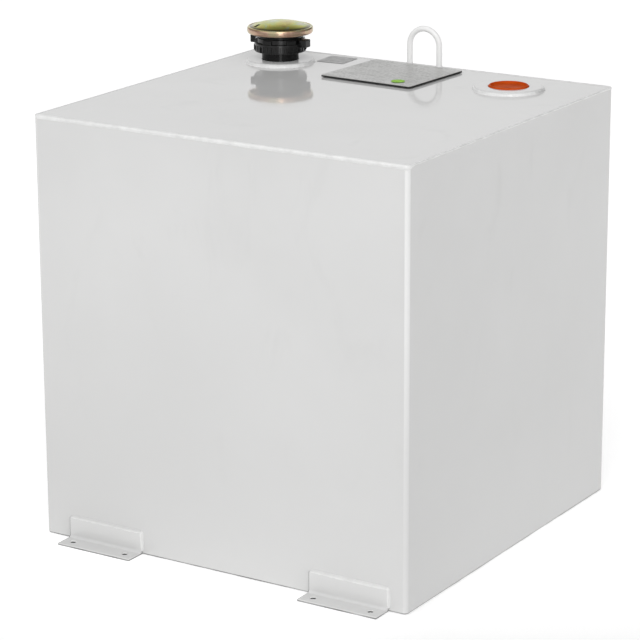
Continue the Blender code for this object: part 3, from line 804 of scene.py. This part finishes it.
def walls():
    """The wrap of four walls, with the slight waviness of thin sheet between its edges."""
    path = wall_path(0.012, 14)
    rows = 44
    low = WALL_LOW.z
    high = WALL_HIGH.z
    bm = bmesh.new()
    levels = []
    for r in range(rows + 1):
        z = low + (high - low) * r / rows
        level = []
        for point, outward in path:
            from_corner = max(HALF_X - abs(point.x), HALF_Y - abs(point.y))
            bulge = wave_at(point.x, point.y, z, (from_corner, z - low, high - z))
            level.append(bm.verts.new((*(point + outward * bulge), z)))
        levels.append(level)
    tube(bm, levels)
    piece("walls", thickened(mesh_of(bm)), "white_powder_coat", "body_wrap")


def thickened(mesh):
    """A skin made into sheet metal, inward from the skin."""
    sheet = placed("sheet", mesh)
    thick = sheet.modifiers.new("sheet", "SOLIDIFY")
    thick.thickness = SHEET
    thick.offset = -1.0
    return applied(sheet)


def grid_lines(half):
    """Even steps across a side, with close ones in the corner rounding at each end."""
    inner = half - CORNER_RADIUS
    close = [inner + CORNER_RADIUS * math.sin(math.pi / 2 * i / 8) for i in range(1, 9)]
    steps = 70
    middle = [-inner + 2 * inner * i / steps for i in range(steps + 1)]
    return [-value for value in reversed(close)] + middle + close


def lid():
    """The flat top with rounded corners and a hole under each flange."""
    bm = bmesh.new()
    xs = grid_lines(HALF_X)
    ys = grid_lines(HALF_Y)
    grid = []
    for x in xs:
        line = []
        for y in ys:
            px, py = in_rounded_corner(x, y)
            wave = wave_at(px, py, 3.0, (HALF_X - abs(px), HALF_Y - abs(py)))
            line.append(bm.verts.new((px, py, TOP + wave)))
        grid.append(line)
    for line, after in zip(grid, grid[1:]):
        for k in range(len(ys) - 1):
            bm.faces.new((line[k], after[k], after[k + 1], line[k + 1]))
    drills = [drill_bit(PANEL_HOLE, TOP - 0.02, TOP + 0.02, spot) for spot in (FILLER, BUNG)]
    mesh = combined(thickened(mesh_of(bm)), drills, "DIFFERENCE")
    piece("lid", mesh, "white_powder_coat", "top_panel")


def in_rounded_corner(x, y):
    """Moves a point of the square corner into the rounded one."""
    u = (abs(x) - (HALF_X - CORNER_RADIUS)) / CORNER_RADIUS
    v = (abs(y) - (HALF_Y - CORNER_RADIUS)) / CORNER_RADIUS
    if u <= 0 or v <= 0:
        return x, y
    round_u = u * math.sqrt(1 - v * v / 2)
    round_v = v * math.sqrt(1 - u * u / 2)
    px = HALF_X - CORNER_RADIUS + round_u * CORNER_RADIUS
    py = HALF_Y - CORNER_RADIUS + round_v * CORNER_RADIUS
    return math.copysign(px, x), math.copysign(py, y)


def top_bead():
    """The lumpy crust of weld over the corner between the lid and the walls.

    It is flatter along the two sides, and heaviest at the front right corner."""
    widths = (EDGE_BEAD_ON_TOP, EDGE_BEAD_ON_WALL)
    section = corner_section(EDGE_ROUND, *widths, EDGE_BEAD_PROUD, TOE_DEPTH)
    heavy = Vector((HALF_X, -HALF_Y))
    stations = []
    for point, outward in wall_path(0.0011, 16):
        near = 1 - eased((point - heavy).length / 0.018)
        centre = Vector((point.x, point.y, TOP))
        side = 0.5 * eased(abs(outward.x)) * (1 - near)
        stations.append((centre, Vector((*outward, 0.0)), UP, 1.0 + 0.30 * near - side))
    mesh = weld(stations, section, 0.10, 1.0, closed=True, ripple=0.012)
    piece("top_bead", mesh, "coated_weld", "top_weld_bead", sharp=70)


def rear_seam():
    """The upright seam where the ends of the wrap meet."""
    low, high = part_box("rear_seam_weld")
    steps = 12
    section = []
    for i in range(steps + 1):
        part = i / steps
        across = 2 * part - 1
        stand = SEAM_BEAD_PROUD * bell(part) ** 0.7 - TOE_DEPTH * abs(across) ** 3
        section.append((SEAM_BEAD_HALF * across, stand))
    section.append((0.0, -0.0012))
    stations = []
    count = 420
    for i in range(count + 1):
        z = low.z + (high.z - low.z) * i / count
        end = min(i, count - i) / 6
        centre = Vector(((low.x + high.x) / 2, HALF_Y, z))
        stations.append((centre, Vector((1, 0, 0)), Vector((0, 1, 0)), 0.7 + 0.3 * eased(end)))
    mesh = weld(stations, section, 0.08, 5.0, ripple=0.05)
    piece("rear_seam", mesh, "coated_weld", "rear_seam_weld", sharp=70)


# ---- flanges and bung


def flange(name, node, weld_node, centre, seed, mouth):
    """A weld-in flange in a lumpy fillet of weld, with a painted highlight in front. mouth is the bore
    at its face.
    """
    low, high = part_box(node)
    radius = radius_of(node)
    height = high.z - TOP
    depth = TOP - low.z
    profile = rounded(
        [
            (mouth, height, 0.0004),
            (radius, height, 0.0022),
            (radius, -0.0002, 0.0),
            (FLANGE_SPIGOT, -0.0002, 0.0),
            (FLANGE_SPIGOT, -depth, 0.0008),
            (FLANGE_BORE, -depth, 0.0008),
            (FLANGE_BORE, height - 0.0016, 0.0004),
            (mouth, height - 0.0012, 0.0002),
        ]
    )
    disc = lathe(profile, centre, TOP, 160)
    piece(name, disc, "white_powder_coat", node)
    section = fillet_section(height * 0.80, radius_of(weld_node) - radius, TOE_DEPTH)
    stations = round_stations(Vector((centre.x, centre.y, TOP)), radius - 0.0003, 380)
    ring = weld(stations, section, 0.16, seed, closed=True, ripple=0.03)
    # Painted highlight: the front of the weld ring takes the lighter weld finish, the back the walls'
    # coat.
    back = centre.y - 0.25 * radius
    two_finishes(ring, "coated_weld", "white_powder_coat", lambda face: face.center.y > back)
    piece(f"{name}_bead", ring, "coated_weld", weld_node, sharp=70)


def plug():
    """The dished push-in plug with a raised lip."""
    low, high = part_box("bung_plug")
    outer = radius_of("bung_plug")
    top = high.z - TOP
    bottom = low.z - TOP
    lip = outer - 0.0018
    dish = lip - 0.0022
    floor = top - 0.0030
    wall = 0.0022
    profile = rounded(
        [
            (0.0, floor, 0.0),
            (dish, floor, 0.0010),
            (dish + 0.0008, top, 0.0007),
            (lip, top, 0.0006),
            (outer, top - 0.0016, 0.0006),
            (outer - 0.0010, bottom, 0.0006),
            (outer - 0.0010 - wall, bottom, 0.0006),
            (outer - wall, floor - wall, 0.0008),
            (0.0, floor - wall, 0.0),
        ],
        closed=False,
    )
    body = lathe(profile, BUNG, TOP, 144)
    piece("plug", body, "orange_plastic", "bung_plug", "plug")


# ---- filler adapter


def adapter():
    """The black moulded adapter: neck, ribbed collar, pads, ears and bayonet mouth."""
    low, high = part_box("filler_adapter")
    mouth_top = high.z - TOP
    shank_end = low.z - TOP
    flange_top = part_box("filler_flange")[1].z - TOP
    neck, shank, bore = 0.0270, 0.0286, 0.0230
    collar, upper, mouth = 0.0379, 0.0345, 0.0325
    collar_bottom, collar_step, upper_top = 0.0168, 0.0305, 0.0372
    lip_under, chamber_floor, chamber = 0.0392, 0.0290, 0.0275
    profile = rounded(
        [
            (bore, mouth_top, 0.0006),
            (mouth, mouth_top, 0.0008),
            (mouth, upper_top, 0.0005),
            (upper, upper_top, 0.0008),
            (upper, collar_step, 0.0008),
            (collar, collar_step, 0.0022),
            (collar, collar_bottom, 0.0012),
            (neck, collar_bottom, 0.0009),
            (neck, flange_top - 0.0010, 0.0004),
            (shank, flange_top - 0.0022, 0.0004),
            (shank, shank_end, 0.0010),
            (bore, shank_end, 0.0006),
            (bore, chamber_floor - 0.0045, 0.0010),
            (chamber, chamber_floor, 0.0010),
            (chamber, lip_under, 0.0004),
            (bore, lip_under, 0.0004),
        ]
    )
    body = lathe(profile, FILLER, TOP, 144)
    root = 0.0315
    reach = radius_of("filler_adapter")
    ears = ring_of_blocks(2, 0.0, (reach - root, 0.0140, 0.0113), (reach + root) / 2, 0.03115, 0.0012)
    pads = ring_of_blocks(6, 0.5, (0.0048, 0.0150, 0.0085), 0.0339, 0.03175, 0.0007)
    ribs = ring_of_blocks(36, 0.25, (0.0016, 0.0011, 0.0078), collar, 0.0228, 0.0004)
    body = combined(body, ears + pads + ribs, "UNION")
    grooves = ring_of_blocks(12, 0.5, (0.0032, 0.0036, 0.0095), collar, 0.02095, 0.0009)
    notches = ring_of_blocks(2, 0.0, (0.0090, 0.0180, 0.0070), chamber - 0.0045, 0.04095, 0.0008)
    body = combined(body, grooves + notches, "DIFFERENCE")

    def on_collar(face):
        return math.hypot(face.center.x - FILLER.x, face.center.y - FILLER.y) > upper - 0.0005

    two_finishes(body, "black_plastic", "polished_plastic", on_collar)
    piece("adapter", body, "black_plastic", "filler_adapter", sharp=32)


def ring_of_blocks(count, offset, size, radius, height, edge):
    """Equal rounded blocks round the filler. offset turns them by a part of their spacing."""
    blocks = []
    for i in range(count):
        angle = (i + offset) * 2 * math.pi / count
        blocks.append(rounded_box(size, at_filler(radius, angle, height), angle, edge))
    return blocks


def at_filler(radius, angle, height):
    """The point at a radius and angle about the filler, and a height above the lid."""
    return Vector(
        (FILLER.x + radius * math.cos(angle), FILLER.y + radius * math.sin(angle), TOP + height)
    )


# ---- cap


def cap():
    """The domed cap, with a rolled rim and a stamped vent slot."""
    low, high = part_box("cap_shell")
    rim_low = low.z - TOP
    rim_top = rim_low + CAP_RIM_HEIGHT
    dome_foot = rim_top - 0.0005
    rise = high.z - TOP - dome_foot
    crease = CAP_RADIUS - CAP_RIM_WIDTH
    crown = CAP_RADIUS - 0.0030
    reach = CAP_RADIUS - crown
    middle = (rim_top + rim_low) / 2
    tall = (rim_top - rim_low) / 2

    def dome(part, thickness):
        return crease * part, dome_foot - thickness + rise * (1 - part**DOME_FULLNESS)

    profile = [dome(math.sin(math.pi / 2 * i / 22), 0.0) for i in range(23)]
    profile += rim_curve(crown, reach, middle, tall, -1, 24)
    profile += rim_curve(crown - 0.0004, reach - CAP_SHEET, middle, tall - CAP_SHEET, 1, 10)
    profile += [dome(1 - i / 12, CAP_SHEET) for i in range(13)]
    body = lathe(profile, FILLER, TOP, 192)
    body.materials.append(MATERIALS["yellow_zinc"])
    along = VENT_SLOT_RADIUS / crease
    surface = dome_foot + rise * (1 - along**DOME_FULLNESS)
    slope = math.atan(DOME_FULLNESS * rise / crease * along ** (DOME_FULLNESS - 1))
    body = combined(body, [vent_slot(surface, slope)], "DIFFERENCE")
    piece("cap", body, "yellow_zinc", "cap_shell", "cap", sharp=50)


def rim_curve(crown, reach, middle, tall, sense, steps):
    """A squarish half oval from one crown point of the rim to the other; sense 1 goes upward."""
    points = []
    for i in range(steps + 1):
        angle = sense * math.pi * (i / steps - 0.5)
        rise = math.copysign(abs(math.sin(angle)) ** 0.80, math.sin(angle))
        points.append((crown + reach * abs(math.cos(angle)) ** 0.62, middle + tall * rise))
    return points


def vent_slot(surface, slope):
    """The block that stamps the slot into the dome, at its height and tilted to its slope."""
    spot = at_filler(VENT_SLOT_RADIUS, VENT_SLOT_ANGLE, 0.0)
    tangent = Vector((-math.sin(VENT_SLOT_ANGLE), math.cos(VENT_SLOT_ANGLE), 0.0))
    turn = Matrix.Rotation(slope, 4, tangent) @ Matrix.Rotation(VENT_SLOT_TURN, 4, "Z")
    lift = Matrix.Translation((0, 0, surface + 0.0021))
    slot = rounded_box(VENT_SLOT_SIZE, spot, VENT_SLOT_ANGLE, 0.0006)
    slot.transform(lift @ Matrix.Translation(spot) @ turn @ Matrix.Translation(-spot))
    # The slot's cut faces take the black finish: painted shade inside the slot.
    slot.materials.append(MATERIALS["black_plastic"])
    return slot


def ring_piece(name, node, inner, slot, body, edge):
    """A flat ring that fills a CAD node's box, with rounded edges."""
    low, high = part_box(node)
    outer = radius_of(node)
    profile = rounded(
        [(inner, low.z, edge), (outer, low.z, edge), (outer, high.z, edge), (inner, high.z, edge)]
    )
    piece(name, lathe(profile, centre_of(node), 0.0, 112), slot, node, body)


def rivet():
    """The rivet that holds the cap, the retainer and the cam together."""
    low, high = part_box("cap_rivet")
    head, shank, thick, edge = 0.0080, 0.0050, 0.0020, 0.0007
    profile = rounded(
        [
            (0.0, high.z, 0.0),
            (head - 0.0010, high.z - 0.0003, edge),
            (head, high.z - thick, edge),
            (shank, high.z - thick - 0.0006, 0.0003),
            (shank, low.z + thick + 0.0006, 0.0003),
            (head, low.z + thick + 0.0006, edge),
            (head - 0.0012, low.z + 0.0006, edge),
            (0.0, low.z, 0.0),
        ],
        closed=False,
    )
    mesh = lathe(profile, centre_of("cap_rivet"), 0.0, 64)
    piece("rivet", mesh, "bare_steel", "cap_rivet", "cap")


def cam():
    """The disc with two tabs that turns under the bayonet lip."""
    low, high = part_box("cam_plate")
    reach = radius_of("cam_plate")
    disc, half = 0.0190, 0.0065
    root = math.asin(half / disc)
    tip = math.asin(half / reach)
    outline = []
    for side in range(2):
        turn = side * math.pi
        outline += arc((0, 0), reach, turn - tip, turn + tip, 10)
        outline += arc((0, 0), disc, turn + root, turn + math.pi - root, 24)
    middle = centre_of("cam_plate")
    place = Matrix.Translation((middle.x, middle.y, 0))
    plate = prism(outline, low.z, high.z, place, 0.0004)
    hole = drill_bit(RIVET_HOLE, low.z - 0.01, high.z + 0.01, middle)
    piece("cam", combined(plate, [hole], "DIFFERENCE"), "bare_steel", "cam_plate", "cap")


# ---- lifting eye


def hoop():
    """The lifting eye: bent rod, with a lumpy fillet of weld at each foot."""
    low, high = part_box("lifting_eye")
    rod = (high.y - low.y) / 2
    y = (high.y + low.y) / 2
    x = (high.x + low.x) / 2
    radius = radius_of("lifting_eye") - rod
    spring = high.z - rod - radius
    points = [Vector((x - radius, y, TOP + (spring - TOP) * i / 12)) for i in range(12)]
    for px, pz in arc((x, spring), radius, math.pi, 0.0, 48):
        points.append(Vector((px, y, pz)))
    points += [Vector((x + radius, y, spring - (spring - TOP) * i / 12)) for i in range(1, 13)]
    section = arc((0, 0), rod, 0.0, 2 * math.pi, 32)[:-1]
    stations = []
    for i, point in enumerate(points):
        ahead = points[min(i + 1, len(points) - 1)] - points[max(i - 1, 0)]
        across = Vector((0, 1, 0)).cross(ahead.normalized())
        stations.append((point, across, Vector((0, 1, 0)), 1.0))
    mesh = weld(stations, section, 0.018, 8.0, ripple=0.0)
    # The rod takes the lighter coat: painted highlight.
    piece("hoop", mesh, "white_powder_coat", "lifting_eye", sharp=70, finish="lit_fitting_coat")
    for side, sign in (("left", -1), ("right", 1)):
        weld_node = f"lifting_eye_weld_{side}"
        foot = Vector((x + sign * radius, y, TOP))
        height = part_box(weld_node)[1].z - TOP
        fillet = fillet_section(height, radius_of(weld_node) - rod, 0.0002, 8)
        collar = round_stations(foot, rod - 0.0002, 90)
        ring = weld(collar, fillet, 0.30, 11.0 + sign, closed=True)
        piece(f"hoop_weld_{side}", ring, "coated_weld", weld_node, sharp=70)


# ---- brackets


def bracket(wall, side, seed):
    """One length of angle with two bolt holes and one bare sawn end in painted shade, and its run of
    weld.
    """
    node = f"mounting_bracket_{wall}_{side}"
    low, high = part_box(node)
    facing = -1 if wall == "front" else 1
    leg = high.z - low.z
    thick = BRACKET_THICKNESS
    section = rounded(
        [
            (0.0, 0.0, 0.0006),
            (leg, 0.0, 0.0006),
            (leg, thick, 0.0012),
            (thick, thick, BRACKET_ROOT),
            (thick, leg, 0.0012),
            (0.0, leg, 0.0004),
        ],
        steps=6,
    )
    length = high.x - low.x
    wall_y = facing * (HALF_Y + 0.0001)
    along = Matrix(((0, 0, 1), (facing, 0, 0), (0, 1, 0))).to_4x4()
    place = Matrix.Translation(((low.x + high.x) / 2, wall_y, low.z)) @ along
    bar = prism(section, -length / 2, length / 2, place, 0.0008)
    # The left end faces take near-black bare metal: painted shade.
    two_finishes(bar, "white_powder_coat", "shaded_end_steel", lambda face: face.normal.x < -0.3)
    drills = []
    x = (low.x + high.x) / 2
    for sign in (-1, 1):
        spot = (x + sign * BOLT_SPACING / 2, wall_y + facing * BOLT_FROM_WALL)
        profile = [
            (0.0, thick + 0.004),
            (BOLT_RADIUS + 0.0043, thick + 0.004),
            (BOLT_RADIUS + 0.0003, thick),
            (BOLT_RADIUS, thick - 0.0003),
            (BOLT_RADIUS, -0.004),
            (0.0, -0.004),
        ]
        drill = lathe(profile, spot, low.z, 48)
        drill.materials.append(MATERIALS["drilled_hole"])
        drills.append(drill)
    mesh = combined(bar, drills, "DIFFERENCE")
    piece(f"bracket_{wall}_{side}", mesh, "white_powder_coat", node, sharp=40)
    bracket_bead(wall, side, seed, low, high, facing)


def bracket_bead(wall, side, seed, low, high, facing):
    """Weld up one end of the vertical leg, along its top and down the other end."""
    node = f"bracket_weld_{wall}_{side}"
    bead_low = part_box(node)[0].z
    y = facing * HALF_Y
    left, right, top = low.x, high.x, high.z
    bend = 0.0024
    path = [(left, bead_low + (top - bend - bead_low) * i / 24) for i in range(24)]
    path += arc((left + bend, top - bend), bend, math.pi, math.pi / 2, 6)
    path += [(left + bend + (right - left - 2 * bend) * i / 110, top) for i in range(1, 110)]
    path += arc((right - bend, top - bend), bend, math.pi / 2, 0.0, 6)
    path += [(right, top - bend - (top - bend - bead_low) * i / 24) for i in range(1, 25)]
    points = [Vector((px, y, pz)) for px, pz in path]
    section = [(-0.0012, 0.0006), (-0.0012, BRACKET_THICKNESS)]
    section += [(px - 0.0006, pz) for px, pz in fillet_section(BRACKET_THICKNESS, 0.0034, 0.0006)[:13]]
    stations = []
    count = len(points)
    out = Vector((0, facing, 0))
    for i, point in enumerate(points):
        ahead = (points[min(i + 1, count - 1)] - points[max(i - 1, 0)]).normalized()
        away = Vector((-ahead.z, 0.0, ahead.x))
        thin = 0.50 + 0.50 * eased((point.x - left + 0.0005) / 0.004)
        end = 0.70 + 0.30 * eased(min(i, count - 1 - i) / 5)
        stations.append((point, away, out, thin * end))
    mesh = weld(stations, section, 0.16, seed)

    def up_left_end(face):
        return face.center.x < left + 0.0004 and face.center.z < top - 0.0050

    two_finishes(mesh, "coated_weld", "dark_end_weld", up_left_end)
    piece(f"bracket_bead_{wall}_{side}", mesh, "coated_weld", node, sharp=70)


# ---- plate, sticker, label


def sheet_piece(name, node, size, corner, turn, slot, edge):
    """A flat cut piece that fills a CAD node's height."""
    low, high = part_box(node)
    middle = centre_of(node)
    outline = rounded(rectangle(size[0] / 2, size[1] / 2, corner), steps=8)
    place = Matrix.Translation((middle.x, middle.y, 0)) @ Matrix.Rotation(turn, 4, "Z")
    mesh = prism(outline, low.z, high.z, place, edge)
    piece(name, mesh, slot, node)


def plate():
    """The black board and the silver face on it, 0.6 mm in from its edge."""
    size, corner, turn = PLATE_SIZE, PLATE_CORNER, PLATE_TURN
    sheet_piece("plate_board", "plate_backing", size, corner, turn, "plate_black", 0.0003)
    size = (PLATE_SIZE[0] - 0.0012, PLATE_SIZE[1] - 0.0012)
    sheet_piece("plate_front", "plate_face", size, corner - 0.0006, turn, "plate_silver", 0.0001)


def sticker():
    """The round dot, its edge lifting a little."""
    low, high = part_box("inspection_sticker")
    radius = radius_of("inspection_sticker")
    thick = high.z - low.z
    rings = 10
    profile = [(radius * i / rings, thick + 0.0003 * (i / rings) ** 4) for i in range(rings + 1)]
    profile += [(radius * i / rings, 0.0003 * (i / rings) ** 4) for i in range(rings, -1, -1)]
    mesh = lathe(profile, centre_of("inspection_sticker"), low.z, 64)
    piece("sticker", mesh, "sticker_green", "inspection_sticker")


def label():
    sheet_piece("label", "data_label", LABEL_SIZE, 0.0015, LABEL_TURN, "label_grey", 0.0001)


# ---- studio

CAMERA_AT = (1.99252, -3.19325, 1.39522)
CAMERA_AZIMUTH = 32.1744
CAMERA_ELEVATION = 16.4503
CAMERA_ROLL = -0.2343
CAMERA_LENS = 157.295
FLOOR_GLOW = 0.50
FLOOR_GLOW_FADE = (0.06, 1.06)
SKY_BASE = 0.20


def direction(azimuth, elevation):
    """The unit direction at an azimuth (0 toward -Y, 90 toward +X) and elevation, in degrees."""
    az, el = math.radians(azimuth), math.radians(elevation)
    return Vector((math.sin(az) * math.cos(el), -math.cos(az) * math.cos(el), math.sin(el)))


def camera():
    back = direction(CAMERA_AZIMUTH, CAMERA_ELEVATION)
    right = direction(CAMERA_AZIMUTH + 90, 0)
    up = back.cross(right)
    roll = Matrix.Rotation(math.radians(CAMERA_ROLL), 3, back)
    axes = Matrix((roll @ right, roll @ up, back)).transposed()
    data = bpy.data.cameras.new("camera")
    data.lens = CAMERA_LENS
    data.sensor_width = 36.0
    data.clip_end = 200.0
    obj = placed("camera", data)
    obj.matrix_world = Matrix.Translation(CAMERA_AT) @ axes.to_4x4()
    bpy.context.scene.camera = obj


def floor():
    """A wide pale floor, lit a little from within like a light table, less so toward the camera."""
    bm = bmesh.new()
    bmesh.ops.create_circle(bm, cap_ends=True, segments=96, radius=40.0)
    mesh = bpy.data.meshes.new("floor")
    bm.to_mesh(mesh)
    bm.free()
    mat = bpy.data.materials.new("floor")
    mat.use_nodes = True
    nodes = Nodes(mat.node_tree)
    shader = mat.node_tree.nodes["Principled BSDF"]
    shader.inputs["Base Color"].default_value = (0.80, 0.80, 0.80, 1.0)
    shader.inputs["Roughness"].default_value = 0.9
    shader.inputs["Emission Color"].default_value = (1.0, 1.0, 1.0, 1.0)
    place = nodes.node("TexCoord", {}).outputs["Object"]
    ahead = nodes.dot(place, direction(CAMERA_AZIMUTH, 0))
    glow = nodes.spread(ahead, *FLOOR_GLOW_FADE, FLOOR_GLOW, 0.0)
    nodes.feed(glow, shader.inputs["Emission Strength"])
    mesh.materials.append(mat)
    placed("floor", mesh)


def soft_box(name, azimuth, elevation, distance, size, energy):
    """A soft light that faces the tank and doesn't show."""
    data = bpy.data.lights.new(name, "AREA")
    data.shape = "RECTANGLE"
    data.size, data.size_y = size
    data.energy = energy
    obj = placed(name, data)
    toward = direction(azimuth, elevation)
    obj.location = Vector((0, 0, 0.4)) + toward * distance
    obj.rotation_euler = toward.to_track_quat("Z", "Y").to_euler()
    obj.visible_camera = False


SKY_LOBES = (
    (direction(212, 10), 0.80, 0.985, 0.80),
    (direction(20, 30), 0.30, 0.95, 0.90),
    (direction(95, 20), 0.30, 0.95, 0.20),
    (direction(-75, 20), 0.30, 0.95, 0.35),
)


def studio_sky():
    """A white sweep behind the tank and a soft bright front, dim overhead and at the sides.

    Each lobe holds its direction, the cosines where it starts and is full, and its strength."""
    world = bpy.data.worlds.new("studio")
    bpy.context.scene.world = world
    world.use_nodes = True
    nodes = Nodes(world.node_tree)
    place = nodes.node("TexCoord", {}).outputs["Generated"]
    total = SKY_BASE
    for toward, low, high, gain in SKY_LOBES:
        lobe = nodes.spread(nodes.dot(place, toward), low, high)
        total = nodes.math("MULTIPLY_ADD", lobe, gain, total)
    background = world.node_tree.nodes["Background"]
    background.inputs["Color"].default_value = (1.0, 1.0, 1.0, 1.0)
    nodes.feed(total, background.inputs["Strength"])


def studio():
    bpy.context.scene.view_settings.view_transform = "Standard"
    studio_sky()
    soft_box("key", 33, 46, 2.6, (1.0, 0.8), 11.0)
    soft_box("front", 33, 14, 3.2, (0.90, 0.50), 7.5)
    floor()
    camera()


# ---- build

dress_carried_over()
walls()
lid()
top_bead()
rear_seam()
flange("filler_ring", "filler_flange", "filler_flange_weld", FILLER, 2.0, FILLER_MOUTH)
flange("bung_ring", "bung_flange", "bung_flange_weld", BUNG, 3.0, BUNG_MOUTH)
adapter()
cap()
ring_piece("gasket", "cap_gasket", GASKET_BORE, "rubber", "cap_seal", 0.0008)
ring_piece("retainer", "retainer_plate", RIVET_HOLE, "bare_steel", "cap", 0.0004)
rivet()
cam()
plug()
hoop()
bracket("front", "left", 21.0)
bracket("front", "right", 22.0)
bracket("rear", "left", 23.0)
bracket("rear", "right", 24.0)
plate()
sticker()
label()
studio()
